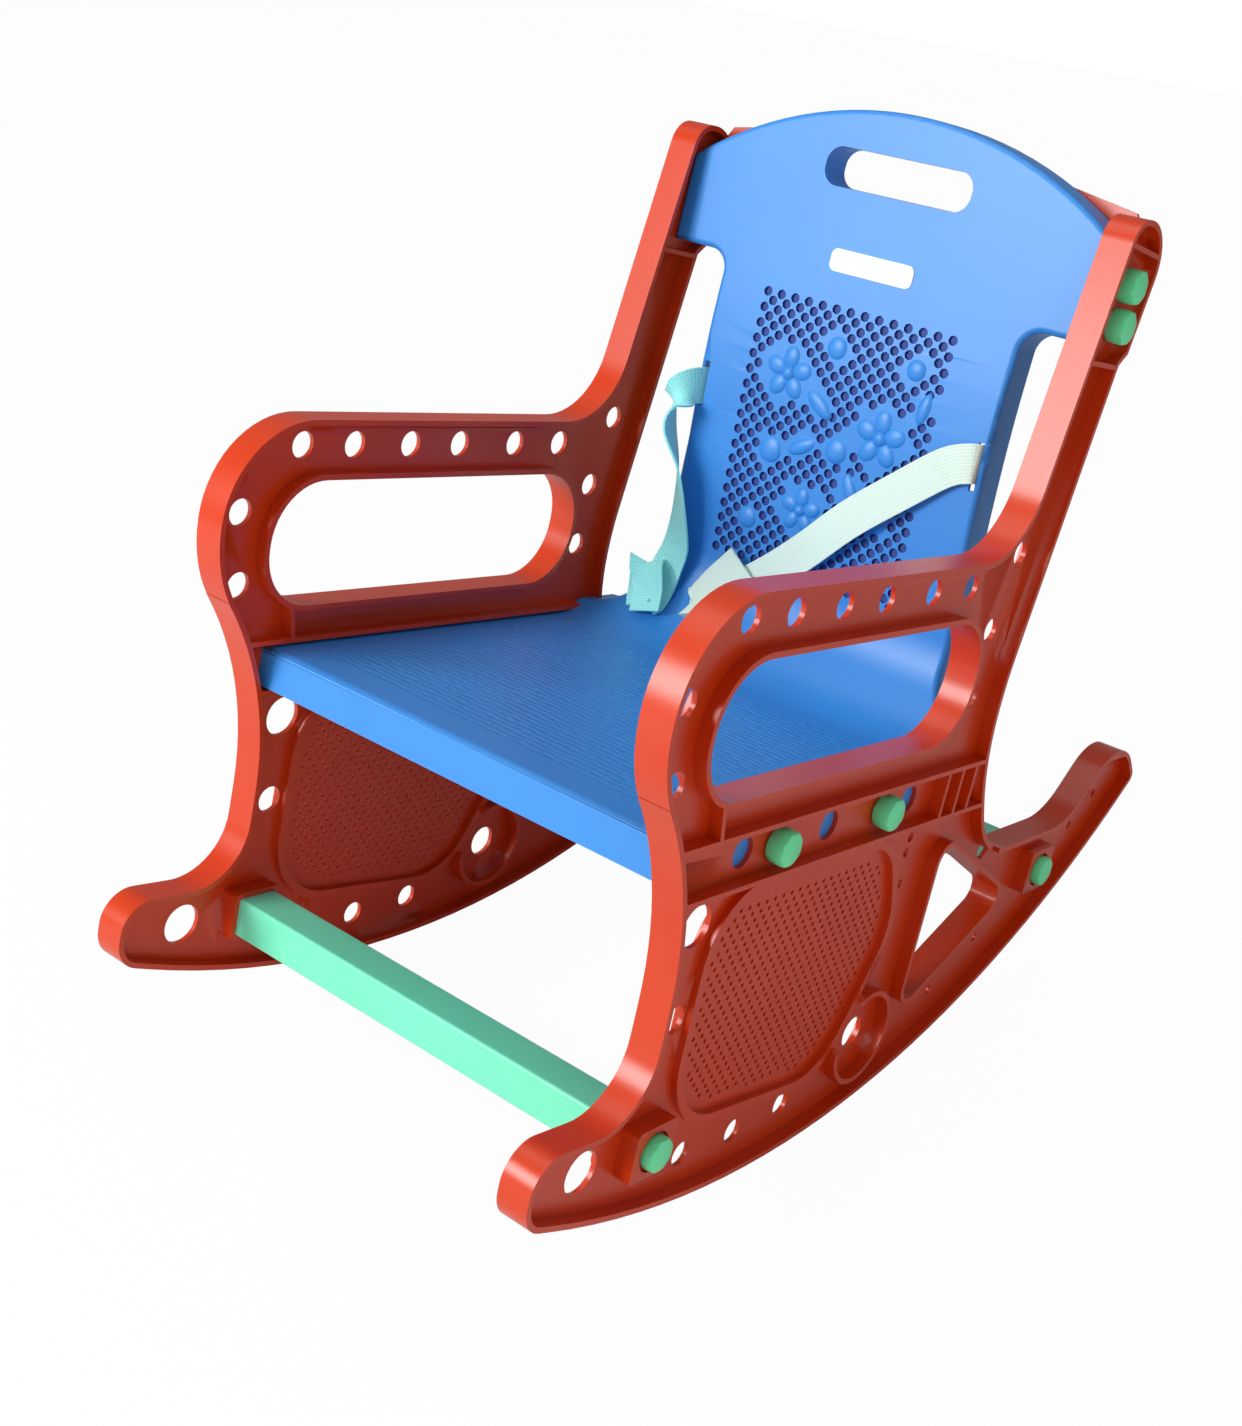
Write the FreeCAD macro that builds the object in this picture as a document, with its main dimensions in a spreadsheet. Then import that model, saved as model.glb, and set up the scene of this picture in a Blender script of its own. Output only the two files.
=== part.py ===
import FreeCAD, Part
import math
import os

# A child's moulded plastic rocking chair: two ribbed side frames, a one-piece
# seat and back shell, two cross bars, capped bolts, nuts and a lap belt.
#
# Every piece is drawn in the drawing frame of the side view: Y runs back, Z runs
# up, and the zero point is the place where the rockers would meet the floor with
# the armrests level. The finished chair is then rolled back on its rockers until
# its centre of mass stands over the line of contact, as it does on a real floor.

DOCUMENT_NAME = "rocking_chair"

SIZES = {
    # side frames: spacing and section
    "web_spacing": 320.0,
    "frame_width": 20.0,
    "web_thickness": 3.0,
    "rim_thickness": 3.5,
    "rib_thickness": 3.0,
    # rockers
    "rocker_radius": 670.0,
    "rocker_front_angle": 17.5,
    "rocker_rear_angle": 42.0,
    "tip_radius": 6.0,
    # toe
    "toe_reach": 224.0,
    "toe_top": 79.0,
    "toe_radius": 20.0,
    "toe_root": 73.0,
    "toe_bend_radius": 38.0,
    # front edge and armrest
    "shin_setback": 135.0,
    "knee_height": 203.7,
    "waist_radius": 200.0,
    "arm_reach": 193.0,
    "belly_height": 276.0,
    "belly_radius": 80.0,
    "arm_height": 366.0,
    "arm_front_radius": 61.0,
    "arm_bend_radius": 52.0,
    # upright
    "bead_height": 489.0,
    "upright_front": 161.0,
    "upright_front_lean": 9.65,
    "upright_depth": 42.4,
    "upright_rear_lean": 8.9,
    "shoulder_step": 7.6,
    "shoulder_rear_lean": 11.0,
    "step_radius": 2.0,
    "cap_height": 571.0,
    "cap_front_radius": 18.0,
    "cap_rear_radius": 28.0,
    "bead_width": 9.0,
    "bead_rise": 1.6,
    # tail
    "crotch_setback": 172.0,
    "crotch_height": 234.0,
    "crotch_radius": 150.0,
    "upright_bend_radius": 180.0,
    "tail_neck_height": 158.0,
    "tail_neck_front": 212.5,
    "tail_neck_radius": 62.0,
    "tail_neck_rear": 345.0,
    "tail_rise_radius": 60.0,
    "fin_peak_radius": 45.0,
    # openings
    "arm_opening_front": 154.0,
    "arm_opening_rear": 124.0,
    "arm_opening_bottom": 253.0,
    "arm_opening_top": 330.0,
    "arm_opening_radius": 37.0,
    "triangle_front": 147.0,
    "triangle_top": 182.0,
    "triangle_tip": 270.0,
    "triangle_tip_height": 119.0,
    "triangle_bottom": 61.0,
    "triangle_radius": 11.0,
    # stiffening ribs
    "seat_rib_top": 233.0,
    "seat_rib_bottom": 198.0,
    "brace_rib_front": 127.0,
    "short_rib_front": 127.0,
    "short_rib_pitch": 18.0,
    "foot_ring_centre": 105.0,
    "foot_ring_height": 53.5,
    "foot_ring_radius": 32.0,
    "shoulder_rib_height": 553.0,
    # wing behind the shoulder of the shell
    "wing_setback": 215.0,
    "wing_thickness": 3.0,
    "wing_reach": 72.0,
    "wing_foot": 515.0,
    "wing_root": 560.0,
    "wing_shoulder": 573.0,
    "wing_tip": 583.0,
    "wing_tip_foot": 562.0,
    # side panel
    "panel_front": 98.0,
    "panel_rear": 112.0,
    "panel_bottom": 38.0,
    "panel_top": 190.0,
    "panel_radius": 48.0,
    "panel_bead_width": 6.0,
    "panel_bead_rise": 4.0,
    # holes in the web
    "arm_hole_radius": 8.0,
    "arm_hole_height": 349.0,
    "small_hole_radius": 7.5,
    "seat_line_hole_radius": 9.0,
    "shin_hole_radius": 8.3,
    "knee_hole_radius": 12.3,
    "toe_hole_radius": 12.5,
    "ring_hole_radius": 10.5,
    "pin_hole_radius": 3.0,
    # seat and back shell
    "shell_wall": 3.0,
    "shell_depth": 25.0,
    "seat_front": 140.0,
    "seat_height": 228.0,
    "back_foot": 194.0,
    "back_bend_radius": 60.0,
    "back_waist": 179.0,
    "back_waist_height": 430.0,
    "back_waist_radius": 600.0,
    "back_top": 187.5,
    "arch_height": 602.5,
    "arch_radius": 268.0,
    "waist_half_width": 113.0,
    "hip_half_width": 119.0,
    "hip_height": 236.0,
    "hip_radius": 38.0,
    "shoulder_height": 493.5,
    "shoulder_radius": 14.0,
    "shell_edge_radius": 4.0,
    "arch_overlap": 6.0,
    "gap_blend_radius": 300.0,
    "handle_length": 108.0,
    "handle_height": 25.0,
    "handle_radius": 11.0,
    "handle_centre": 563.0,
    "belt_slot_spacing": 214.0,
    "belt_slot_height": 405.0,
    "belt_slot_length": 31.0,
    "belt_slot_width": 4.0,
    # cross bars
    "bar_depth": 29.0,
    "bar_height": 25.0,
    "bar_wall": 2.6,
    "bar_edge_radius": 2.0,
    "bar_cells": 5,
    "bar_end_block": 24.0,
    "front_bar_setback": 122.0,
    "front_bar_centre": 52.0,
    "rear_bar_setback": 316.0,
    "rear_bar_centre": 128.0,
    "socket_wall": 3.5,
    "front_socket_rise": 11.5,
    "rear_socket_rise": 9.5,
    "collar_rise": 12.0,
    # bolts and nuts
    "cap_size": 20.5,
    "cap_thickness": 12.5,
    "bar_cap_thickness": 9.0,
    "cap_bevel": 2.6,
    "cap_recess": 3.0,
    "cap_play": 2.0,
    "shank_radius": 4.0,
    "shank_clearance": 0.3,
    "bar_thread_length": 18.0,
    "nut_size": 13.0,
    "nut_thickness": 6.5,
    "nut_overrun": 1.5,
    "seat_bolt_front": 55.0,
    "seat_bolt_rear": 60.0,
    "seat_bolt_height": 215.5,
    "shoulder_bolt_setback": 194.0,
    "shoulder_bolt_low": 508.0,
    "shoulder_bolt_high": 532.0,
    # belt
    "belt_width": 25.0,
    "belt_thickness": 1.6,
    "belt_lift": 5.0,
}

# Setback of the holes along the armrest.
ARM_HOLES = (-133.0, -91.0, -43.0, 2.0, 56.0, 102.0)

# The other holes of the web: setback, height and the size that holds the radius.
WEB_HOLES = (
    (-173.0, 310.0, "arm_hole_radius"),
    (-166.5, 266.0, "arm_hole_radius"),
    (157.0, 367.0, "small_hole_radius"),
    (145.0, 319.0, "small_hole_radius"),
    (144.0, 276.0, "small_hole_radius"),
    (-114.5, 178.7, "knee_hole_radius"),
    (-114.0, 123.2, "shin_hole_radius"),
    (-170.6, 50.0, "toe_hole_radius"),
    (-73.0, 27.0, "small_hole_radius"),
    (-19.0, 23.5, "small_hole_radius"),
    (33.0, 25.0, "small_hole_radius"),
    (-86.0, 215.5, "seat_line_hole_radius"),
    (2.0, 215.5, "seat_line_hole_radius"),
    (95.0, 215.5, "seat_line_hole_radius"),
    (230.0, 157.0, "small_hole_radius"),
    (105.0, 53.5, "ring_hole_radius"),
)

# The pin holes of the web: setback and height.
PIN_HOLES = (
    (113.0, 187.0),
    (112.0, 177.0),
    (115.0, 155.0),
    (205.0, 57.0),
    (258.0, 84.0),
    (374.0, 148.0),
    (404.0, 168.0),
)

# Sides of the outlines of small round holes and shanks, of rings, and of pin holes.
# The chair has some ninety of them, so each is drawn with few sides.
ROUND_SIDES = 16
RING_SIDES = 32
PIN_SIDES = 8
CAP_SIDES = 8
NUT_SIDES = 6

NEAR = 0.01

doc = FreeCAD.newDocument(DOCUMENT_NAME)
sheet = doc.addObject("Spreadsheet::Sheet", "Sizes")


def fill_sheet():
    """Write each size as a plain number with its name as the alias."""
    for row, (alias, value) in enumerate(SIZES.items(), start=1):
        sheet.set("A%d" % row, alias)
        sheet.set("B%d" % row, repr(value))
        sheet.setAlias("B%d" % row, alias)
    doc.recompute()


def size(alias):
    """Read one size back from the sheet."""
    return float(sheet.get(alias))


# Flat geometry: rounded outlines as faces in the sketch plane


def rounded_face(corners):
    """Face of a polygon whose corners (x, y, radius) are rounded by tangent arcs."""
    points = [FreeCAD.Vector(x, y, 0) for x, y, radius in corners]
    count = len(points)
    starts = []
    ends = []
    middles = []
    for index, (x, y, radius) in enumerate(corners):
        here = points[index]
        before = (points[index - 1] - here).normalize()
        after = (points[(index + 1) % count] - here).normalize()
        opening = before.getAngle(after)
        setback = radius / math.tan(opening / 2)
        bisector = (before + after).normalize()
        centre = here + bisector * (radius / math.sin(opening / 2))
        starts.append(here + before * setback)
        ends.append(here + after * setback)
        middles.append(centre - bisector * radius)
    edges = []
    for index in range(count):
        if corners[index][2] > 0:
            edges.append(Part.Arc(starts[index], middles[index], ends[index]).toShape())
        following = starts[(index + 1) % count]
        if ends[index].distanceToPoint(following) > NEAR:
            edges.append(Part.LineSegment(ends[index], following).toShape())
    return Part.Face(Part.Wire(edges))


def regular_face(sides, across_flats, x=0.0, y=0.0):
    """Regular polygon round a centre, standing on a flat."""
    radius = across_flats / 2 / math.cos(math.pi / sides)
    points = []
    for index in range(sides + 1):
        angle = (index % sides + 0.5) * 2 * math.pi / sides
        points.append(FreeCAD.Vector(x + radius * math.cos(angle),
                                     y + radius * math.sin(angle), 0))
    return Part.Face(Part.makePolygon(points))


def disc(x, y, radius, sides=ROUND_SIDES):
    """Round outline drawn with straight sides that touch the circle from outside."""
    return regular_face(sides, 2 * radius, x, y)


def box_face(x_low, y_low, x_high, y_high):
    """Rectangular face."""
    plate = Part.makePlane(x_high - x_low, y_high - y_low, FreeCAD.Vector(x_low, y_low, 0))
    return Part.Face(plate.OuterWire)


def strip(x_from, y_from, x_to, y_to, width):
    """Straight band of the given width between two points."""
    start = FreeCAD.Vector(x_from, y_from, 0)
    end = FreeCAD.Vector(x_to, y_to, 0)
    along = (end - start).normalize()
    across = FreeCAD.Vector(-along.y, along.x, 0) * (width / 2)
    corners = [start + across, end + across, end - across, start - across, start + across]
    return Part.Face(Part.makePolygon(corners))


def grown(face, distance):
    """The face with its edge moved out, or in where the distance is negative."""
    return Part.Face(face.OuterWire.makeOffset2D(distance))


# Bodies, sketches and features


def origin_plane(body, role):
    """One of the three planes of a body's own origin."""
    for feature in body.Origin.OriginFeatures:
        if feature.Role == role:
            return feature
    raise ValueError(role)


def add_body(label):
    """Empty body that will carry one piece of the chair."""
    body = doc.addObject("PartDesign::Body", label)
    body.Label = label
    return body


def add_sketch(body, name, role, distance, face):
    """Sketch of a flat face, on a plane of the body moved along its normal."""
    sketch = body.newObject("Sketcher::SketchObject", name)
    sketch.AttachmentSupport = [(origin_plane(body, role), "")]
    sketch.MapMode = "FlatFace"
    sketch.AttachmentOffset = FreeCAD.Placement(
        FreeCAD.Vector(0, 0, distance), FreeCAD.Rotation())
    curves = [curve_of(edge) for wire in face.Wires for edge in wire.Edges]
    sketch.addGeometry(curves, False)
    return sketch


def curve_of(edge):
    """Sketch geometry for a straight or round edge."""
    first = edge.valueAt(edge.FirstParameter)
    last = edge.valueAt(edge.LastParameter)
    if isinstance(edge.Curve, (Part.Line, Part.LineSegment)):
        return Part.LineSegment(first, last)
    middle = edge.valueAt((edge.FirstParameter + edge.LastParameter) / 2)
    return Part.Arc(first, middle, last)


def add_pad(body, name, sketch, length, side="One side", reverse=False):
    """Pad whose length is bound to an expression of sheet values."""
    pad = body.newObject("PartDesign::Pad", name)
    pad.Profile = sketch
    pad.SideType = side
    pad.Reversed = reverse
    pad.setExpression("Length", length)
    doc.recompute()
    return pad


def add_pocket(body, name, sketch, length, reverse=False):
    """Pocket to a bound depth, or right through where no depth is given."""
    before = body.Tip.Shape.Volume
    pocket = body.newObject("PartDesign::Pocket", name)
    pocket.Profile = sketch
    pocket.Reversed = reverse
    if length is None:
        pocket.Type = "ThroughAll"
        pocket.SideType = "Symmetric"
    else:
        pocket.setExpression("Length", length)
    doc.recompute()
    if pocket.Shape.isNull() or pocket.Shape.Volume >= before - 1e-6:
        raise ValueError("%s removes nothing from %s" % (name, body.Label))
    return pocket


def edge_names(shape):
    """Each edge of a shape with its name."""
    return [("Edge%d" % index, edge) for index, edge in enumerate(shape.Edges, start=1)]


def dress_edges(body, kind, name, edges, measure, value):
    """Fillet or Chamfer of named edges, with its measure bound to an expression."""
    base = body.Tip
    feature = body.newObject("PartDesign::" + kind, name)
    feature.Base = (base, edges)
    feature.setExpression(measure, value)
    doc.recompute()
    if "Invalid" in feature.State:
        raise ValueError("%s of %s fails" % (name, body.Label))
    return feature


# Side frames


def rocker_corner():
    """Corner between the tangents at both ends of the rocker arc."""
    radius = size("rocker_radius")
    front = math.radians(size("rocker_front_angle"))
    rear = math.radians(size("rocker_rear_angle"))
    middle = (rear - front) / 2
    reach = radius / math.cos((rear + front) / 2)
    return reach * math.sin(middle), radius - reach * math.cos(middle), radius


def upright_front_at(height):
    """Y of the upright's front edge at a height."""
    rise = height - size("bead_height")
    return size("upright_front") + rise * math.tan(math.radians(size("upright_front_lean")))


def upright_rear_at(height):
    """Y of the upright's rear edge below the shoulder step, at a height."""
    rise = height - size("bead_height")
    foot = size("upright_front") + size("upright_depth")
    return foot + rise * math.tan(math.radians(size("upright_rear_lean")))


def shoulder_rear_at(height):
    """Y of the upright's rear edge above the shoulder step, at a height."""
    rise = height - size("bead_height")
    foot = size("upright_front") + size("upright_depth") + size("shoulder_step")
    return foot + rise * math.tan(math.radians(size("shoulder_rear_lean")))


def toe_bottom_height():
    """Height where the rocker's front tangent reaches the front of the toe."""
    angle = math.radians(size("rocker_front_angle"))
    radius = size("rocker_radius")
    start_y = -radius * math.sin(angle)
    start_z = radius * (1 - math.cos(angle))
    return start_z + (start_y + size("toe_reach")) * math.tan(angle)


def tail_corners():
    """Tip and rounded fin at the rear end of the rocker."""
    angle = math.radians(size("rocker_rear_angle"))
    radius = size("rocker_radius")
    rocker_y = radius * math.sin(angle)
    rocker_z = radius * (1 - math.cos(angle))
    neck = size("tail_neck_height")
    peak_y = (rocker_y + size("tail_neck_rear") + rocker_z - neck) / 2 + size("tip_radius")
    peak_z = neck + peak_y - size("tail_neck_rear")
    slope = math.tan(angle)
    tip_y = (peak_z + peak_y - rocker_z + rocker_y * slope) / (1 + slope)
    tip_z = peak_z + peak_y - tip_y
    return [
        (tip_y, tip_z, size("tip_radius")),
        (peak_y, peak_z, size("fin_peak_radius")),
    ]


def frame_outline():
    """Outer edge of a side frame, from the rocker round the back to the toe."""
    step = size("bead_height")
    arm = size("arm_height")
    cap = size("cap_height")
    lean = math.radians(size("upright_rear_lean"))
    step_half = size("upright_bend_radius") * math.tan(lean / 2) / 4
    crotch_z = step - (upright_rear_at(step) - size("crotch_setback")) / math.tan(lean)
    corners = [rocker_corner()]
    corners += tail_corners()
    corners += [
        (size("tail_neck_rear"), size("tail_neck_height"), size("tail_rise_radius")),
        (size("tail_neck_front"), size("tail_neck_height"), size("tail_neck_radius")),
        (size("crotch_setback"), size("crotch_height"), size("crotch_radius")),
        (size("crotch_setback"), crotch_z, size("upright_bend_radius")),
        (upright_rear_at(step - step_half), step - step_half, size("step_radius")),
        (shoulder_rear_at(step + step_half), step + step_half, size("step_radius")),
        (shoulder_rear_at(cap), cap, size("cap_rear_radius")),
        (upright_front_at(cap), cap, size("cap_front_radius")),
        (upright_front_at(arm), arm, size("arm_bend_radius")),
        (-size("arm_reach"), arm, size("arm_front_radius")),
        (-size("arm_reach"), size("belly_height"), size("belly_radius")),
        (-size("shin_setback"), size("knee_height"), size("waist_radius")),
        (-size("shin_setback"), size("toe_root"), size("toe_bend_radius")),
        (-size("toe_reach"), size("toe_top"), size("toe_radius")),
        (-size("toe_reach"), toe_bottom_height(), size("toe_radius")),
    ]
    return rounded_face(corners)


def arm_opening():
    """Long rounded opening under the armrest."""
    radius = size("arm_opening_radius")
    front = -size("arm_opening_front")
    rear = size("arm_opening_rear")
    bottom = size("arm_opening_bottom")
    top = size("arm_opening_top")
    return rounded_face([
        (front, bottom, radius),
        (rear, bottom, radius),
        (rear, top, radius),
        (front, top, radius),
    ])


def rear_triangle():
    """Triangular opening between the side panel and the tail."""
    radius = size("triangle_radius")
    front = size("triangle_front")
    return rounded_face([
        (front, size("triangle_bottom"), radius),
        (size("triangle_tip"), size("triangle_tip_height"), radius),
        (front, size("triangle_top"), radius),
    ])


def side_panel():
    """Rounded field of the perforated side panel."""
    radius = size("panel_radius")
    front = -size("panel_front")
    rear = size("panel_rear")
    return rounded_face([
        (front, size("panel_bottom") + radius / 3, radius),
        (rear - radius, size("panel_bottom"), radius),
        (rear, size("panel_top") - radius * 1.3, radius),
        (rear - radius * 0.6, size("panel_top"), radius * 0.8),
        (front, size("panel_top"), radius * 0.8),
    ])


def main_ribs():
    """Ribs and rings that stand on both faces of the web."""
    width = size("rib_thickness")
    far = size("toe_reach") + size("rocker_radius")
    high = size("seat_rib_top") - width / 2
    low = size("seat_rib_bottom") + width / 2
    brace = -size("brace_rib_front")
    ring = disc(size("foot_ring_centre"), size("foot_ring_height"), size("foot_ring_radius"),
                RING_SIDES)
    hollow = grown(ring, -size("rim_thickness"))
    bead = size("bead_height")
    return [
        strip(-far, high, far, high, width),
        strip(-far, low, far, low, width),
        strip(brace - width, size("arm_opening_bottom") + width, brace + width, high, width),
        ring.cut(hollow),
        strip(upright_front_at(bead) - width, bead - width,
              shoulder_rear_at(bead) + width, bead - 2 * width, width),
    ]


def outer_ribs():
    """Ribs that only the outer face has."""
    width = size("rib_thickness")
    ribs = []
    for index in range(3):
        y = size("short_rib_front") + index * size("short_rib_pitch")
        ribs.append(strip(y, size("seat_rib_bottom"), y, size("seat_rib_top"), width))
    level = size("shoulder_rib_height")
    ribs.append(strip(upright_front_at(level) - width, level + width,
                      shoulder_rear_at(level) + width, level - width, width))
    return ribs


def socket_face(centre_y, centre_z):
    """Outline of the block that stands round the end of a cross bar."""
    wall = size("socket_wall")
    half_y = size("bar_depth") / 2 + wall
    half_z = size("bar_height") / 2 + wall
    return rounded_face([
        (centre_y - half_y, centre_z - half_z, wall),
        (centre_y + half_y, centre_z - half_z, wall),
        (centre_y + half_y, centre_z + half_z, wall),
        (centre_y - half_y, centre_z + half_z, wall),
    ])


def bar_places():
    """Name, Y and Z of the two cross bars, and the rise of their outer blocks."""
    return [
        ("front", -size("front_bar_setback"), size("front_bar_centre"), "front_socket_rise"),
        ("rear", size("rear_bar_setback"), size("rear_bar_centre"), "rear_socket_rise"),
    ]


def frame_islands():
    """Everything that keeps its full height when the web is recessed."""
    rim = size("rim_thickness")
    islands = [grown(arm_opening(), rim), grown(rear_triangle(), rim)]
    islands += main_ribs()
    islands.append(grown(side_panel(), size("panel_bead_width")))
    return islands


def web_cells(outline, islands):
    """Recessed fields of the web, between the rim and the islands."""
    field = grown(outline, -size("rim_thickness"))
    return field.cut(islands)


def web_hole_faces():
    """Round outlines of the plain holes in the web."""
    faces = [disc(y, size("arm_hole_height"), size("arm_hole_radius")) for y in ARM_HOLES]
    faces += [disc(y, z, size(radius)) for y, z, radius in WEB_HOLES]
    faces += [disc(y, z, size("pin_hole_radius"), PIN_SIDES) for y, z in PIN_HOLES]
    return Part.makeCompound(faces)


def bolt_places():
    """Name, Y and Z of the six bolts of one side."""
    return [
        ("shoulder_upper", size("shoulder_bolt_setback"), size("shoulder_bolt_high")),
        ("shoulder_lower", size("shoulder_bolt_setback"), size("shoulder_bolt_low")),
        ("seat_front", -size("seat_bolt_front"), size("seat_bolt_height")),
        ("seat_rear", size("seat_bolt_rear"), size("seat_bolt_height")),
        ("front_bar", -size("front_bar_setback"), size("front_bar_centre")),
        ("rear_bar", size("rear_bar_setback"), size("rear_bar_centre")),
    ]


def bolt_hole_faces(places):
    """Round outlines of the clearance holes for some of the bolts."""
    radius = size("shank_radius") + size("shank_clearance")
    return Part.makeCompound([disc(y, z, radius) for name, y, z in places])


def wing_outline():
    """Front view of the wing that runs inwards behind the shoulder of the shell."""
    root = -size("web_thickness") / 2
    shoulder = -size("frame_width") / 2
    tip = -size("wing_reach")
    return rounded_face([
        (0.0, size("wing_foot"), 0.0),
        (shoulder, size("wing_foot"), 0.0),
        (tip, size("wing_tip_foot"), 0.0),
        (tip, size("wing_tip"), 0.0),
        (shoulder, size("wing_shoulder"), 0.0),
        (root, size("wing_root"), 0.0),
        (0.0, size("wing_root"), 0.0),
    ])


def make_left_frame(label):
    """I-section frame with rocker, armrest and upright; its outer face looks to +X."""
    body = add_body(label)
    half = size("frame_width") / 2
    web_half = size("web_thickness") / 2
    outline = frame_outline()
    blank = outline.cut([arm_opening(), rear_triangle()])
    sketch = add_sketch(body, "outline", "YZ_Plane", 0.0, blank)
    add_pad(body, "blank", sketch, "Sizes.frame_width", "Symmetric")

    islands = frame_islands()
    recess = "(Sizes.frame_width - Sizes.web_thickness) / 2"
    panel = side_panel()
    outer_cells = web_cells(outline, islands + outer_ribs())
    inner_cells = web_cells(outline, islands)
    for name, side, cells in (("outer", 1, outer_cells), ("inner", -1, inner_cells)):
        fields = Part.makeCompound([cells, panel])
        sketch = add_sketch(body, name + "_fields", "YZ_Plane", side * half, fields)
        add_pocket(body, name + "_recess", sketch, recess, side < 0)
        ring = grown(panel, size("panel_bead_width"))
        sketch = add_sketch(body, name + "_panel_edge", "YZ_Plane", side * half, ring)
        add_pocket(body, name + "_panel_bead", sketch, recess + " - Sizes.panel_bead_rise",
                   side < 0)

    sketch = add_sketch(body, "wing_outline", "XZ_Plane", -size("wing_setback"), wing_outline())
    add_pad(body, "shoulder_wing", sketch, "Sizes.wing_thickness", "Symmetric")

    blocks = []
    bores = []
    for name, centre_y, centre_z, rise in bar_places():
        block = socket_face(centre_y, centre_z)
        blocks.append(block)
        bores.append(bar_section(centre_y, centre_z))
        sketch = add_sketch(body, name + "_socket", "YZ_Plane", 0.0, block)
        add_pad(body, name + "_block", sketch, "Sizes.web_thickness / 2 + Sizes." + rise)
        cap = disc(centre_y, centre_z, size("cap_size") / 2 + size("cap_play"))
        sketch = add_sketch(body, name + "_cap_seat", "YZ_Plane", web_half + size(rise), cap)
        add_pocket(body, name + "_cap_recess", sketch, "Sizes.cap_recess")
    sketch = add_sketch(body, "collars", "YZ_Plane", 0.0, Part.makeCompound(blocks))
    add_pad(body, "collar_blocks", sketch, "Sizes.web_thickness / 2 + Sizes.collar_rise",
            reverse=True)
    sketch = add_sketch(body, "bar_seats", "YZ_Plane", -web_half - size("collar_rise"),
                        Part.makeCompound(bores))
    add_pocket(body, "bar_seat_cut", sketch, "Sizes.collar_rise", True)

    holes = Part.makeCompound([web_hole_faces(), bolt_hole_faces(bolt_places())])
    sketch = add_sketch(body, "holes", "YZ_Plane", half, holes)
    add_pocket(body, "hole_cut", sketch, "Sizes.frame_width")
    return body


def make_mirrored(label, source):
    """The same piece for the other side, mirrored in the middle plane of the chair."""
    mirrored = doc.addObject("Part::Mirroring", label)
    mirrored.Label = label
    mirrored.Source = source
    mirrored.Normal = FreeCAD.Vector(1, 0, 0)
    doc.recompute()
    return mirrored


# Cross bars


def bar_section(centre_y, centre_z):
    """Rectangular section of a cross bar."""
    half_y = size("bar_depth") / 2
    half_z = size("bar_height") / 2
    radius = size("bar_edge_radius")
    return rounded_face([
        (centre_y - half_y, centre_z - half_z, radius),
        (centre_y + half_y, centre_z - half_z, radius),
        (centre_y + half_y, centre_z + half_z, radius),
        (centre_y - half_y, centre_z + half_z, radius),
    ])


def make_cross_bar(label):
    """Moulded bar, open underneath, with a solid drilled block at each end."""
    body = add_body(label)
    sketch = add_sketch(body, "section", "YZ_Plane", 0.0, bar_section(0.0, 0.0))
    add_pad(body, "bar", sketch, "Sizes.web_spacing - Sizes.web_thickness", "Symmetric")
    wall = size("bar_wall")
    length = size("web_spacing") - size("web_thickness")
    inner = length / 2 - size("bar_end_block")
    width = size("bar_depth") / 2 - wall
    count = int(size("bar_cells"))
    pitch = 2 * inner / count
    troughs = []
    for index in range(count):
        low = -inner + index * pitch
        troughs.append(box_face(low + wall / 2, -width, low + pitch - wall / 2, width))
    sketch = add_sketch(body, "troughs", "XY_Plane", -size("bar_height") / 2,
                        Part.makeCompound(troughs))
    add_pocket(body, "underside", sketch, "Sizes.bar_height - Sizes.bar_wall", True)
    for side in (-1, 1):
        sketch = add_sketch(body, "thread_end_%d" % (side + 1), "YZ_Plane",
                            side * length / 2, disc(0.0, 0.0, size("shank_radius")))
        add_pocket(body, "thread_%d" % (side + 1), sketch, "Sizes.bar_thread_length + 1",
                   side < 0)
    return body


# Seat and back shell


def shell_profile():
    """Side view of the seat and back, as a bent band as deep as the shell."""
    depth = size("shell_depth")
    front = -size("seat_front")
    seat = size("seat_height")
    top = size("arch_height") + size("arch_overlap")
    lean = (size("back_top") - size("back_waist")) / (top - size("back_waist_height"))
    lower = (size("back_waist") - size("back_foot")) / (size("back_waist_height") - seat)
    underside_foot = size("back_foot") + depth * math.hypot(1, lower) - lower * depth
    return rounded_face([
        (front, seat - depth, 0.0),
        (underside_foot, seat - depth, size("back_bend_radius") + depth),
        (size("back_waist") + depth, size("back_waist_height"),
         size("back_waist_radius") - depth),
        (size("back_top") + depth, top, 0.0),
        (size("back_top"), top, 0.0),
        (size("back_waist"), size("back_waist_height"), size("back_waist_radius")),
        (size("back_foot"), seat, size("back_bend_radius")),
        (front, seat, 0.0),
    ])


def side_gap(side):
    """Open space between the back and one upright, in the front view."""
    outside = size("web_spacing")
    corners = [
        (side * outside, size("hip_height"), 0.0),
        (side * size("hip_half_width"), size("hip_height"), size("hip_radius")),
        (side * size("waist_half_width"), size("arm_height"),
         size("gap_blend_radius")),
        (side * size("waist_half_width"), size("shoulder_height"), size("shoulder_radius")),
        (side * outside, size("shoulder_height"), 0.0),
    ]
    return rounded_face(corners)


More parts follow.
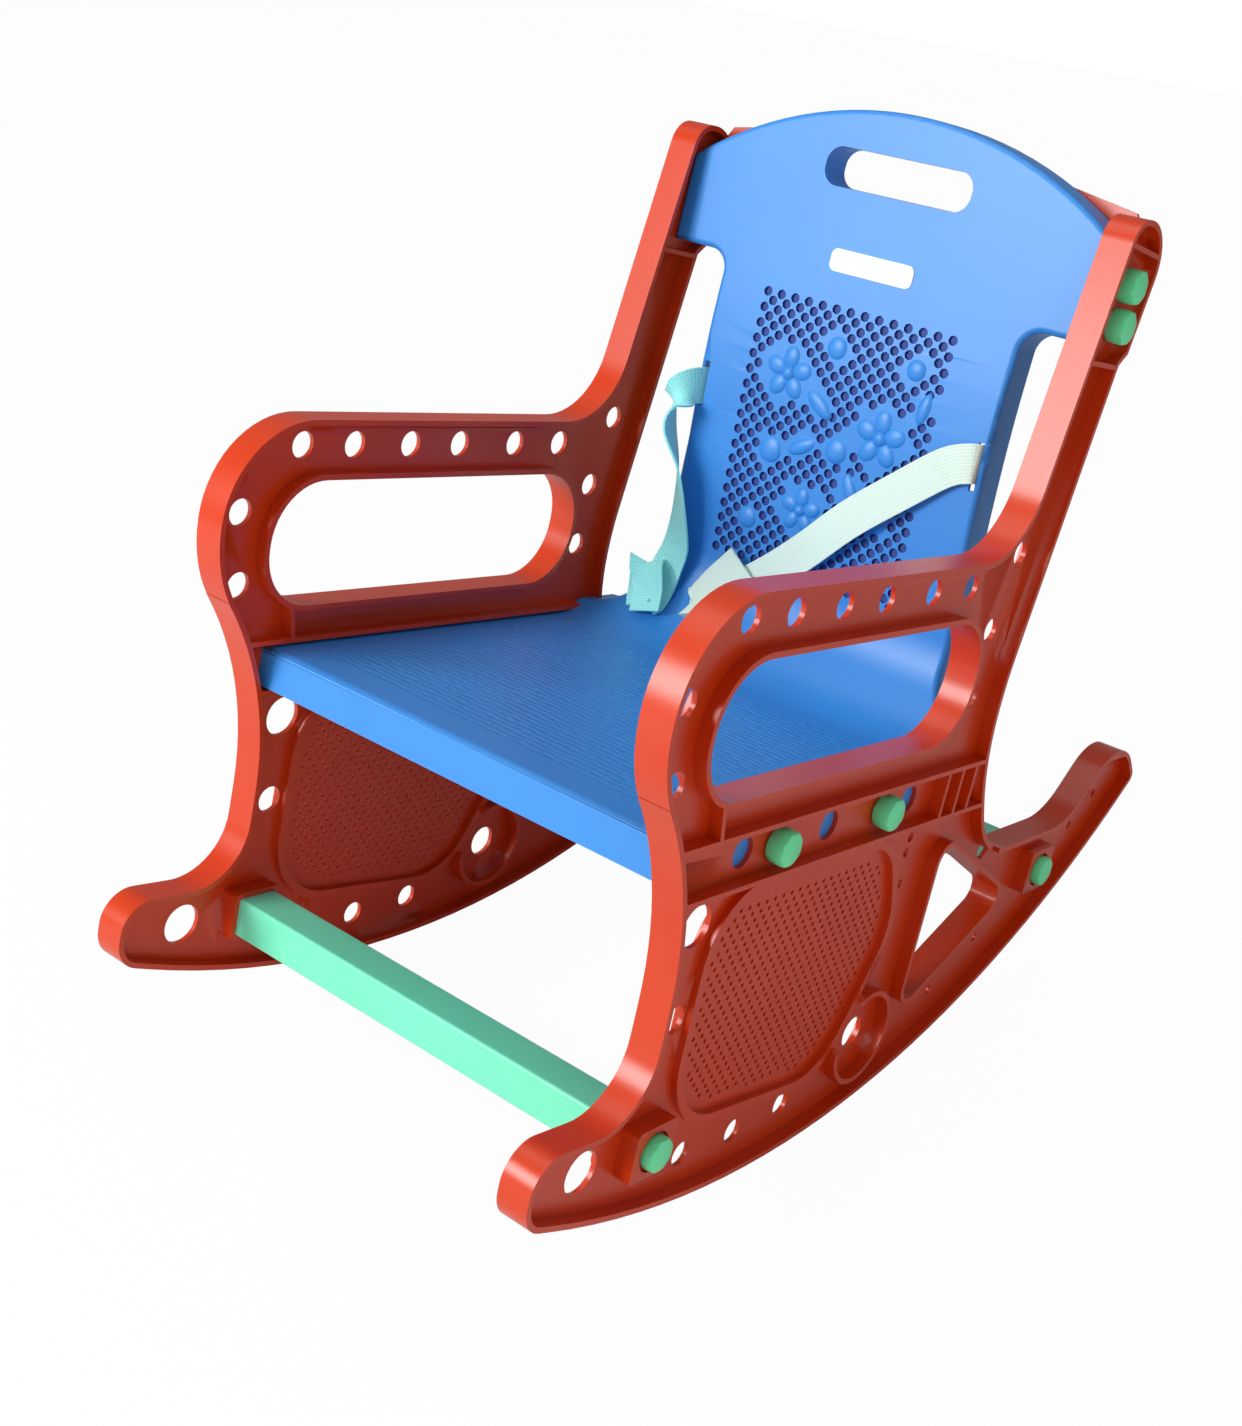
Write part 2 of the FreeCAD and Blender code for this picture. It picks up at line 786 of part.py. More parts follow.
def above_arch():
    """Space above the arched top edge, in the front view."""
    radius = size("arch_radius")
    centre = size("arch_height") - radius
    half = size("web_spacing") / 2 + size("frame_width")
    side_z = centre + math.sqrt(radius ** 2 - half ** 2)
    roof = size("arch_height") + size("frame_width")
    left = FreeCAD.Vector(-half, side_z, 0)
    right = FreeCAD.Vector(half, side_z, 0)
    apex = FreeCAD.Vector(0, size("arch_height"), 0)
    edges = [
        Part.Arc(left, apex, right).toShape(),
        Part.LineSegment(right, FreeCAD.Vector(half, roof, 0)).toShape(),
        Part.LineSegment(FreeCAD.Vector(half, roof, 0), FreeCAD.Vector(-half, roof, 0)).toShape(),
        Part.LineSegment(FreeCAD.Vector(-half, roof, 0), left).toShape(),
    ]
    return Part.Face(Part.Wire(edges))


def handle_slot():
    """Rounded carrying slot near the top of the back."""
    half = size("handle_length") / 2
    low = size("handle_centre") - size("handle_height") / 2
    high = size("handle_centre") + size("handle_height") / 2
    radius = size("handle_radius")
    return rounded_face([
        (-half, low, radius),
        (half, low, radius),
        (half, high, radius),
        (-half, high, radius),
    ])


def belt_slots():
    """The two upright belt slots."""
    slots = []
    half_length = size("belt_slot_length") / 2
    half_width = size("belt_slot_width") / 2
    for side in (-1, 1):
        x = side * size("belt_slot_spacing") / 2
        z = size("belt_slot_height")
        slots.append(box_face(x - half_width, z - half_length, x + half_width, z + half_length))
    return Part.makeCompound(slots)


def open_faces(shape):
    """Names of the faces on the hidden side of the shell: below the seat, behind the back."""
    depth = size("shell_depth")
    names = []
    for index, face in enumerate(shape.Faces, start=1):
        u_low, u_high, v_low, v_high = face.ParameterRange
        normal = face.normalAt((u_low + u_high) / 2, (v_low + v_high) / 2)
        centre = face.CenterOfMass
        sideways = abs(normal.x) > 0.2
        if sideways or face.Area < depth * depth:
            continue
        below_seat = centre.z < size("seat_height") - depth + 1 and normal.z < -0.9
        behind = normal.y > 0.3 and normal.z < 0.3
        if below_seat or behind:
            names.append("Face%d" % index)
    return names


def is_sitter_face(face):
    """Whether a face is part of the surface that carries the sitter."""
    u_low, u_high, v_low, v_high = face.ParameterRange
    normal = face.normalAt((u_low + u_high) / 2, (v_low + v_high) / 2)
    if abs(normal.x) > 0.2 or face.Area < size("shell_depth") ** 2:
        return False
    on_seat = normal.z > 0.9 and abs(face.CenterOfMass.z - size("seat_height")) < NEAR
    on_back = normal.y < -0.5 and face.CenterOfMass.y > 0
    return on_seat or on_back


def sitter_edges(shape, seat_edges):
    """Names of the rounded edges of the sitter's side: those of the seat, or all others."""
    sitter = [face for face in shape.Faces if is_sitter_face(face)]
    side = (size("web_spacing") - size("web_thickness")) / 2 - NEAR
    names = []
    for name, edge in edge_names(shape):
        users = [face for face in sitter if any(edge.isSame(other) for other in face.Edges)]
        if len(users) != 1:
            continue
        centre = edge.CenterOfMass
        in_hole = not any(edge.isSame(other) for other in users[0].OuterWire.Edges)
        if in_hole:
            continue
        at_side = abs(centre.x) > side and centre.z < size("hip_height")
        at_lip = centre.y < -size("seat_front") + 1
        if (at_side or at_lip) == seat_edges:
            names.append(name)
    return names


def make_shell(label):
    """One-piece tray of seat and back, open on its hidden side."""
    body = add_body(label)
    sketch = add_sketch(body, "profile", "YZ_Plane", 0.0, shell_profile())
    add_pad(body, "band", sketch, "Sizes.web_spacing - Sizes.web_thickness", "Symmetric")
    cuts = Part.makeCompound([side_gap(-1), side_gap(1), above_arch(), handle_slot()])
    sketch = add_sketch(body, "front_view", "XZ_Plane", 0.0, cuts)
    add_pocket(body, "outline_cut", sketch, None)
    block = body.Tip
    hollow = body.newObject("PartDesign::Thickness", "hollow")
    hollow.Base = (block, open_faces(block.Shape))
    hollow.setExpression("Value", "Sizes.shell_wall")
    hollow.Reversed = True
    hollow.Mode = 0
    hollow.Join = 0
    doc.recompute()
    for name, seat_edges in (("back_round", False), ("seat_round", True)):
        dress_edges(body, "Fillet", name, sitter_edges(body.Tip.Shape, seat_edges),
                    "Radius", "Sizes.shell_edge_radius")
    sketch = add_sketch(body, "belt_slots", "XZ_Plane", 0.0, belt_slots())
    add_pocket(body, "belt_slot_cut", sketch, None)
    shell_bolts = [place for place in bolt_places() if not place[0].endswith("bar")]
    sketch = add_sketch(body, "bolt_holes", "YZ_Plane", 0.0, bolt_hole_faces(shell_bolts))
    add_pocket(body, "bolt_hole_cut", sketch, None)
    return body


# Bolts and nuts


def make_bolt(label, hand, cap_depth, grip):
    """Bolt with a big eight-sided cap; its shank runs inwards from under the cap."""
    body = add_body(label)
    outline = regular_face(CAP_SIDES, size("cap_size"))
    sketch = add_sketch(body, "cap_outline", "YZ_Plane", 0.0, outline)
    add_pad(body, "cap", sketch, cap_depth, reverse=hand < 0)
    top = body.Tip.Length.Value
    rim = [name for name, edge in edge_names(body.Tip.Shape)
           if abs(edge.CenterOfMass.x) > top - NEAR]
    dress_edges(body, "Chamfer", "cap_bevel", rim, "Size", "Sizes.cap_bevel")
    sketch = add_sketch(body, "shank_outline", "YZ_Plane", 0.0,
                        disc(0.0, 0.0, size("shank_radius")))
    add_pad(body, "shank", sketch, grip, reverse=hand > 0)
    return body


def make_nut(label):
    """Six-sided nut behind the wall of the shell."""
    body = add_body(label)
    outline = regular_face(NUT_SIDES, size("nut_size"))
    face = outline.cut(disc(0.0, 0.0, size("shank_radius")))
    sketch = add_sketch(body, "nut_outline", "YZ_Plane", 0.0, face)
    add_pad(body, "nut", sketch, "Sizes.nut_thickness", "Symmetric")
    return body


def make_fasteners(side, hand):
    """The six bolts and four nuts of one side, with their places."""
    pieces = []
    web = size("web_spacing") / 2
    outer_skin = web + size("web_thickness") / 2
    inner_skin = web - size("web_thickness") / 2
    shell_grip = "Sizes.web_thickness + Sizes.shell_wall + Sizes.nut_thickness + Sizes.nut_overrun"
    for name, y, z in bolt_places():
        start = outer_skin
        cap_depth = "Sizes.cap_thickness"
        grip = shell_grip
        if name.endswith("bar"):
            rise = name.split("_")[0] + "_socket_rise"
            start = outer_skin + size(rise) - size("cap_recess")
            cap_depth = "Sizes.bar_cap_thickness"
            grip = ("Sizes.web_thickness + Sizes.%s - Sizes.cap_recess"
                    " + Sizes.bar_thread_length" % rise)
        label = "%s_%s_bolt" % (side, name)
        pieces.append((make_bolt(label, hand, cap_depth, grip), (hand * start, y, z)))
        if not name.endswith("bar"):
            nut_x = inner_skin - size("shell_wall") - size("nut_thickness") / 2
            nut = make_nut("%s_%s_nut" % (side, name))
            pieces.append((nut, (hand * nut_x, y, z)))
    return pieces


# Lap belt


def triangle(first, second, third):
    """Flat three-sided face."""
    return Part.Face(Part.makePolygon([first, second, third, first]))


def ribbon(points, widths):
    """Flat strap through a row of cross sections (centre, direction across)."""
    half = size("belt_thickness") / 2
    sections = []
    for index, (centre, across) in enumerate(zip(points, widths)):
        before = points[max(index - 1, 0)]
        after = points[min(index + 1, len(points) - 1)]
        along = (after - before).normalize()
        across = (across - along * across.dot(along)).normalize() * (size("belt_width") / 2)
        normal = along.cross(across).normalize() * half
        sections.append([
            centre + across + normal,
            centre + across - normal,
            centre - across - normal,
            centre - across + normal,
        ])
    faces = []
    for corners in (sections[0], sections[-1]):
        faces.append(triangle(corners[0], corners[1], corners[2]))
        faces.append(triangle(corners[0], corners[2], corners[3]))
    for near, far in zip(sections, sections[1:]):
        for index in range(len(near)):
            following = (index + 1) % len(near)
            faces.append(triangle(near[index], near[following], far[index]))
            faces.append(triangle(near[following], far[following], far[index]))
    skin = Part.makeShell(faces)
    skin.sewShape()
    return Part.makeSolid(Part.Shell(skin.Faces))


def make_belt(label, route):
    """One half of the lap belt along its hand-laid route."""
    belt = doc.addObject("Part::Feature", label)
    belt.Label = label
    points = [FreeCAD.Vector(*centre) for centre, across in route]
    widths = [FreeCAD.Vector(*across) for centre, across in route]
    belt.Shape = ribbon(points, widths)
    return belt


def bend_centre():
    """Y and Z of the centre of the round between the seat and the back."""
    seat = size("seat_height")
    radius = size("back_bend_radius")
    lean = (size("back_foot") - size("back_waist")) / (size("back_waist_height") - seat)
    return size("back_foot") - radius * (lean + math.hypot(1, lean)), seat + radius


def on_back(x, z, lift):
    """Belt section that lies flat in front of the back."""
    centre_y, centre_z = bend_centre()
    seat = size("seat_height")
    lean = (size("back_foot") - size("back_waist")) / (size("back_waist_height") - seat)
    if z > centre_z:
        return (x, size("back_foot") - lean * (z - seat) - lift, z), (0.0, -lean, 1.0)
    drop = centre_z - z
    reach = math.sqrt(size("back_bend_radius") ** 2 - drop ** 2)
    return (x, centre_y + reach - lift, z), (0.0, drop / reach, 1.0)


def in_bend(x, angle, lift, across=(1.0, 0.0, 0.0)):
    """Belt section over the round below the back; the angle runs down towards the seat."""
    centre_y, centre_z = bend_centre()
    reach = size("back_bend_radius") - lift
    turn = math.radians(angle)
    return (x, centre_y + reach * math.cos(turn), centre_z - reach * math.sin(turn)), across


def belt_routes():
    """Centre and across direction of each section of the two straps."""
    play = size("belt_slot_width") - size("belt_thickness")
    slot_x = (size("belt_slot_spacing") + play) / 2 - 0.2
    slot_z = size("belt_slot_height")
    lift = size("belt_lift")
    behind = -14.0
    up = (0.0, 0.0, 1.0)
    left = [
        (on_back(slot_x, slot_z + 2.0, behind)[0], up),
        (on_back(slot_x, slot_z + 2.0, 0.5)[0], up),
        (on_back(slot_x - 3.2, slot_z + 1.8, lift - 1.4)[0], up),
        on_back(slot_x - 19.0, slot_z - 5.0, lift),
        on_back(slot_x - 47.0, slot_z - 29.0, lift + 2.0),
        on_back(slot_x - 77.0, slot_z - 56.0, lift + 3.0),
        on_back(slot_x - 107.0, slot_z - 88.0, lift + 2.0),
        on_back(slot_x - 137.0, slot_z - 116.0, lift),
        on_back(slot_x - 162.0, slot_z - 135.0, lift - 1.0),
        on_back(slot_x - 176.0, slot_z - 146.0, lift - 1.0),
        on_back(slot_x - 181.0, slot_z - 149.0, lift + 1.6),
        on_back(slot_x - 176.0, slot_z - 141.0, lift + 4.0),
        on_back(slot_x - 163.0, slot_z - 124.0, lift + 6.0),
        on_back(slot_x - 151.0, slot_z - 109.0, lift + 5.5),
    ]
    right = [
        (on_back(-slot_x, slot_z - 2.0, behind)[0], up),
        (on_back(-slot_x, slot_z - 2.0, 0.5)[0], up),
        (on_back(-slot_x - 3.0, slot_z - 4.0, 9.0)[0], up),
        (on_back(-slot_x - 8.0, slot_z - 13.0, 16.0)[0], (-0.1, 0.3, 1.0)),
        (on_back(-slot_x - 9.0, slot_z - 33.0, 17.0)[0], (-0.4, 1.0, 0.4)),
        (on_back(-slot_x + 2.0, slot_z - 60.0, 14.0)[0], (-0.6, 0.8, 0.0)),
        (on_back(-slot_x + 8.0, slot_z - 90.0, 12.0)[0], (-0.9, 0.6, 0.0)),
        (on_back(-slot_x + 9.0, slot_z - 114.0, 10.0)[0], (-1.0, 0.2, 0.0)),
        in_bend(-slot_x + 6.0, 14.0, 9.0, (-1.0, 0.0, 0.0)),
        in_bend(-slot_x + 4.0, 30.0, 4.0, (-1.0, 0.0, 0.0)),
        in_bend(-slot_x + 3.0, 44.0, 1.2, (-1.0, 0.0, 0.0)),
        in_bend(-slot_x + 1.0, 49.0, 3.6, (-1.0, 0.1, 0.1)),
        in_bend(-slot_x - 3.0, 42.0, 6.0, (-1.0, 0.1, 0.3)),
        in_bend(-slot_x - 8.0, 24.0, 12.5, (-1.0, 0.1, 0.3)),
        in_bend(-slot_x - 8.0, 18.0, 15.5, (-1.0, 0.0, 0.1)),
        in_bend(-slot_x - 3.0, 24.0, 18.0, (-1.0, 0.0, -0.1)),
        in_bend(-slot_x + 4.0, 42.0, 12.5, (-1.0, 0.0, -0.3)),
        in_bend(-slot_x + 8.0, 56.0, 7.0, (-1.0, 0.0, -0.3)),
    ]
    return {"left_belt": left, "right_belt": right}


# The whole chair


def build_pieces():
    """Every piece with its place in the drawing frame."""
    side = size("web_spacing") / 2
    frame = make_left_frame("left_side_frame")
    pieces = [
        (frame, (side, 0.0, 0.0)),
        (make_mirrored("right_side_frame", frame), (-side, 0.0, 0.0)),
        (make_shell("seat_back_shell"), (0.0, 0.0, 0.0)),
    ]
    for name, centre_y, centre_z, rise in bar_places():
        pieces.append((make_cross_bar(name + "_crossbar"), (0.0, centre_y, centre_z)))
    pieces += make_fasteners("left", 1)
    pieces += make_fasteners("right", -1)
    for label, route in belt_routes().items():
        pieces.append((make_belt(label, route), (0.0, 0.0, 0.0)))
    return pieces


def rest_angle(pieces):
    """Angle that brings the centre of mass over the line where the rockers touch."""
    volume = 0.0
    moment_y = 0.0
    moment_z = 0.0
    for piece, (x, y, z) in pieces:
        solid = piece.Shape.Solids[0]
        share = solid.Volume
        centre = solid.CenterOfMass
        volume += share
        moment_y += share * (centre.y + y)
        moment_z += share * (centre.z + z)
    drop = size("rocker_radius") - moment_z / volume
    return math.atan2(moment_y / volume, drop)


def chair_placement(pieces, angle):
    """Roll the chair back about the rocker's centre and centre it over the origin."""
    hub = FreeCAD.Vector(0, 0, size("rocker_radius"))
    roll = FreeCAD.Rotation(FreeCAD.Vector(1, 0, 0), -math.degrees(angle))
    rolled = FreeCAD.Placement(hub, roll).multiply(
        FreeCAD.Placement(-hub, FreeCAD.Rotation()))
    frame, place = pieces[0]
    shape = frame.Shape.copy()
    shape.Placement = rolled.multiply(FreeCAD.Placement(FreeCAD.Vector(*place),
                                                        FreeCAD.Rotation()))
    box = shape.BoundBox
    middle = FreeCAD.Placement(FreeCAD.Vector(0, -(box.YMin + box.YMax) / 2, 0),
                               FreeCAD.Rotation())
    return middle.multiply(rolled)


def place_pieces(pieces, whole):
    """Put each piece in its place; a mirrored one goes along with the piece it mirrors."""
    for piece, place in pieces:
        if piece.TypeId != "Part::Mirroring":
            piece.Placement = whole.multiply(FreeCAD.Placement(FreeCAD.Vector(*place),
                                                               FreeCAD.Rotation()))
    doc.recompute()


def check_document():
    """Stop if any object failed to build."""
    for item in doc.Objects:
        if "Invalid" in item.State or "Error" in item.State:
            raise ValueError("%s failed: %s" % (item.Name, item.State))


def write_parts(pieces):
    """Check and write each piece under its own name."""
    os.makedirs("parts", exist_ok=True)
    for piece, place in pieces:
        shape = piece.Shape
        if shape.isNull() or not shape.isValid() or len(shape.Solids) != 1:
            raise ValueError("%s is no single valid solid" % piece.Label)
        shape.exportStep("parts/%s.step" % piece.Label)
        box = shape.BoundBox
        print("%-28s solids %d  volume %9.0f  z %7.1f to %7.1f" % (
            piece.Label, len(shape.Solids), shape.Volume, box.ZMin, box.ZMax))


fill_sheet()
chair = build_pieces()
check_document()
tilt = rest_angle(chair)
whole = chair_placement(chair, tilt)
place_pieces(chair, whole)
check_document()
write_parts(chair)
print("rest angle %.2f degrees" % math.degrees(tilt))
print("origin shift %s" % whole.Base)
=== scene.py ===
"""Looks of a child's moulded plastic rocking chair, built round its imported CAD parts.

The chair rests on a level floor, rolled back on its rockers. Lengths are in metres
in the frame of the CAD parts: Z up, the sitter faces -Y, the sitter's left is +X.
"""

import logging
import math
from dataclasses import dataclass, field
from enum import Enum
from typing import Sequence

import bpy
from mathutils import Matrix, Vector
from mathutils.bvhtree import BVHTree


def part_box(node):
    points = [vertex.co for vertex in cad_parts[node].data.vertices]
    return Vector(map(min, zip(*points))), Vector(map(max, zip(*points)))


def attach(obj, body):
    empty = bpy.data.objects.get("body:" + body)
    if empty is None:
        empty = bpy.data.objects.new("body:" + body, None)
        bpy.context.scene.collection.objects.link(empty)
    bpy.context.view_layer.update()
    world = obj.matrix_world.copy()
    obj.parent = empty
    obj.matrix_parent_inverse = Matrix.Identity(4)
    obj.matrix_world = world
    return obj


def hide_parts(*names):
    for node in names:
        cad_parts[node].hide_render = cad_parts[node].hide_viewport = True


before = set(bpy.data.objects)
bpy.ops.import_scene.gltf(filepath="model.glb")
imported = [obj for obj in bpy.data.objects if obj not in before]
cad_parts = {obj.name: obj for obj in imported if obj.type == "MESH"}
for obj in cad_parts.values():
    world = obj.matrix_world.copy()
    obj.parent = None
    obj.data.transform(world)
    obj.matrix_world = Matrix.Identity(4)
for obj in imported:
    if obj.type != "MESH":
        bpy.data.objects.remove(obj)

LOG = logging.getLogger("rocking_chair")
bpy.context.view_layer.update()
MM = 0.001
IMAGE_SIZE = (1242, 1426)
# length over which a wave texture of scale one repeats
WAVE_PERIOD = 0.314
# points of the solids that lie closer than this are one, in metres
MERGE_DISTANCE = 0.00001
# faces that meet flatter than this belong to one flat, in degrees
FLAT_ANGLE = 0.5


class Side(Enum):
    """The two sides of the chair, as the sitter sees them."""

    LEFT = 1
    RIGHT = -1

    @property
    def word(self) -> str:
        """Prefix of the CAD nodes of this side."""
        return self.name.lower()


@dataclass(frozen=True)
class Roll:
    """How the chair, drawn with level armrests, is rolled back to its rest on the floor.

    Args:
        angle: Roll about the X axis, in degrees.
        shift_y: Shift along Y after the roll, in millimetres.
        shift_z: Shift along Z after the roll, in millimetres.
    """

    angle: float = 10.41
    shift_y: float = -132.812
    shift_z: float = 11.019

    def matrix(self) -> Matrix:
        """Matrix from the drawing frame to the floor frame, both in metres."""
        turn = Matrix.Rotation(-math.radians(self.angle), 4, "X")
        return Matrix.Translation((0, self.shift_y * MM, self.shift_z * MM)) @ turn

    def place(self, x: float, y: float, z: float) -> Vector:
        """Turn a point of the drawing frame into one over the floor.

        Args:
            x: Place across, in millimetres.
            y: Setback, in millimetres.
            z: Height, in millimetres.

        Returns:
            The point, in metres.
        """
        return self.matrix() @ Vector((x * MM, y * MM, z * MM))


ROLL = Roll()


def linear(hex_colour: str) -> tuple[float, float, float, float]:
    """Linear colour of an sRGB hex value.

    Args:
        hex_colour: Six hex digits, with or without a leading hash.

    Returns:
        Red, green, blue and an alpha of one.
    """
    digits = hex_colour.lstrip("#")
    channels = [int(digits[index:index + 2], 16) / 255 for index in (0, 2, 4)]
    lit = [c / 12.92 if c <= 0.04045 else ((c + 0.055) / 1.055) ** 2.4 for c in channels]
    return lit[0], lit[1], lit[2], 1.0


def add_node(
    tree: bpy.types.NodeTree,
    kind: str,
    values: dict | None = None,
    links: dict | None = None,
    **settings: object,
) -> bpy.types.Node:
    """Add one shader node.

    Args:
        tree: Node tree of the material or world.
        kind: Node type.
        values: Socket name or index to its constant.
        links: Socket name or index to the output that feeds it.
        settings: Attributes of the node.

    Returns:
        The new node.
    """
    node = tree.nodes.new(kind)
    for name, value in settings.items():
        setattr(node, name, value)
    for socket, value in (values or {}).items():
        node.inputs[socket].default_value = value
    for socket, output in (links or {}).items():
        tree.links.new(output, node.inputs[socket])
    return node


@dataclass(frozen=True)
class MouldedPlastic:
    """Glossy injection-moulded or blow-moulded polyolefin.

    The skin is smooth but never flat: it has slow waves from cooling and a fine
    peel, and its colour drifts a little with the wall's thickness.

    Args:
        name: Name of the material.
        base: Main colour, sRGB hex.
        thin: Colour where the wall is thin and the light comes through, sRGB hex.
        drift: Size of the colour clouds, in millimetres.
        peel: Size of the surface peel, in millimetres.
        roughness: Roughness of the skin.
        relief: Depth of the peel, in millimetres.
    """

    name: str
    base: str
    thin: str
    drift: float = 60.0
    peel: float = 2.2
    roughness: float = 0.32
    relief: float = 0.05

    def build(self) -> bpy.types.Material:
        """Make the material."""
        material = bpy.data.materials.new(self.name)
        material.use_nodes = True
        tree = material.node_tree
        shader = tree.nodes["Principled BSDF"]
        shader.inputs["IOR"].default_value = 1.5
        shader.inputs["Roughness"].default_value = self.roughness
        shader.inputs["Subsurface Weight"].default_value = 0.0
        coords = add_node(tree, "ShaderNodeTexCoord").outputs["Object"]
        clouds = add_node(
            tree, "ShaderNodeTexNoise",
            values={"Scale": 1 / (self.drift * MM), "Detail": 3.0, "Roughness": 0.55},
            links={"Vector": coords})
        mix = add_node(
            tree, "ShaderNodeMix", data_type="RGBA",
            values={"A": linear(self.base), "B": linear(self.thin)},
            links={"Factor": clouds.outputs["Fac"]})
        tree.links.new(mix.outputs["Result"], shader.inputs["Base Color"])
        peel = add_node(
            tree, "ShaderNodeTexNoise",
            values={"Scale": 1 / (self.peel * MM), "Detail": 2.0},
            links={"Vector": coords})
        bump = add_node(
            tree, "ShaderNodeBump",
            values={"Strength": 0.5, "Distance": self.relief * MM},
            links={"Height": peel.outputs["Fac"]})
        tree.links.new(bump.outputs["Normal"], shader.inputs["Normal"])
        return material


def dress(piece: bpy.types.Object, material: bpy.types.Material) -> None:
    """Give a piece one material.

    Args:
        piece: Mesh object.
        material: Its only material.
    """
    if piece.data.materials:
        for slot in piece.material_slots:
            slot.material = material
    else:
        piece.data.materials.append(material)


@dataclass
class Studio:
    """Floor, lamps, world and camera.

    Args:
        floor_size: Side of the square floor, in metres.
        floor_glow: Share of the floor that the camera sees as plain white.
        aim: Point that the lamps look at.
        camera_place: Place of the camera.
        camera_right: Direction of the picture's right edge.
        camera_up: Direction of the picture's upper edge.
        focal_pixels: Focal length in pixels of the full picture.
    """

    floor_size: float = 12.0
    floor_glow: float = 0.965
    aim: tuple[float, float, float] = (0.0, 0.0, 0.28)
    camera_place: tuple[float, float, float] = (0.61426, -0.90734, 0.72546)
    camera_right: tuple[float, float, float] = (0.77121, 0.62964, 0.09376)
    camera_up: tuple[float, float, float] = (-0.34169, 0.28516, 0.89551)
    focal_pixels: float = 1865.46

    def build(self) -> None:
        """Set up the whole studio."""
        scene = bpy.context.scene
        scene.view_settings.view_transform = "Standard"
        self.add_world()
        self.add_floor()
        self.add_lamps()
        self.add_camera()

    def add_world(self) -> None:
        """White to the camera and through clear parts, a soft pale grey as light."""
        world = bpy.data.worlds.new("pale_room")
        bpy.context.scene.world = world
        world.use_nodes = True
        tree = world.node_tree
        tree.nodes.clear()
        path = add_node(tree, "ShaderNodeLightPath")
        seen = add_node(
            tree, "ShaderNodeMath", operation="MAXIMUM",
            links={0: path.outputs["Is Camera Ray"], 1: path.outputs["Is Transmission Ray"]})
        lamp = add_node(tree, "ShaderNodeBackground",
                        values={"Color": linear("F4F6FA"), "Strength": 0.3})
        paper = add_node(tree, "ShaderNodeBackground",
                         values={"Color": (1, 1, 1, 1), "Strength": 1.0})
        mix = add_node(tree, "ShaderNodeMixShader",
                       links={"Fac": seen.outputs[0], 1: lamp.outputs[0], 2: paper.outputs[0]})
        add_node(tree, "ShaderNodeOutputWorld", links={"Surface": mix.outputs[0]})

    def add_floor(self) -> None:
        """Pale floor that keeps a faint shadow under the rockers."""
        bpy.ops.mesh.primitive_plane_add(size=self.floor_size, location=(0, 0, 0))
        floor = bpy.context.object
        floor.name = "studio_floor"
        material = bpy.data.materials.new("matt_white_paper")
        material.use_nodes = True
        tree = material.node_tree
        shader = tree.nodes["Principled BSDF"]
        shader.inputs["Base Color"].default_value = linear("F2F2F2")
        shader.inputs["Roughness"].default_value = 0.9
        shader.inputs["Specular IOR Level"].default_value = 0.0
        path = add_node(tree, "ShaderNodeLightPath")
        glow = add_node(tree, "ShaderNodeEmission",
                        values={"Color": (1, 1, 1, 1), "Strength": 1.0})
        share = add_node(tree, "ShaderNodeMath", operation="MULTIPLY",
                         values={1: self.floor_glow}, links={0: path.outputs["Is Camera Ray"]})
        mix = add_node(tree, "ShaderNodeMixShader",
                       links={"Fac": share.outputs[0], 1: shader.outputs[0],
                              2: glow.outputs[0]})
        tree.links.new(mix.outputs[0], tree.nodes["Material Output"].inputs["Surface"])
        dress(floor, material)

    def add_lamp(self, name: str, place: Sequence[float], size: float, power: float) -> None:
        """Square area lamp aimed at the middle of the chair.

        Args:
            name: Name of the lamp.
            place: Where it hangs.
            size: Side of the lamp, in metres.
            power: Power in watts.
        """
        data = bpy.data.lights.new(name, "AREA")
        data.size = size
        data.energy = power
        lamp = bpy.data.objects.new(name, data)
        bpy.context.collection.objects.link(lamp)
        lamp.location = place
        aim = Vector(self.aim) - Vector(place)
        lamp.rotation_mode = "QUATERNION"
        lamp.rotation_quaternion = aim.to_track_quat("-Z", "Y")

    def add_lamps(self) -> None:
        """Key from the front, weak fill from the camera's side, soft light from above."""
        self.add_lamp("key_front", (-1.1, -2.6, 1.5), 1.3, 78.0)
        self.add_lamp("fill_right", (2.4, -1.4, 0.9), 1.8, 11.0)
        self.add_lamp("top_soft", (-0.5, -0.2, 2.8), 1.8, 16.0)

    def add_camera(self) -> None:
        """Camera at the photograph's place, with its roll."""
        data = bpy.data.cameras.new("camera")
        data.sensor_width = 36.0
        data.lens = self.focal_pixels * data.sensor_width / max(IMAGE_SIZE)
        data.clip_start = 0.05
        data.clip_end = 40.0
        camera = bpy.data.objects.new("camera", data)
        bpy.context.collection.objects.link(camera)
        right = Vector(self.camera_right).normalized()
        up = Vector(self.camera_up).normalized()
        back = right.cross(up)
        turn = Matrix((right, up, back)).transposed().to_4x4()
        camera.matrix_world = Matrix.Translation(self.camera_place) @ turn
        bpy.context.scene.camera = camera


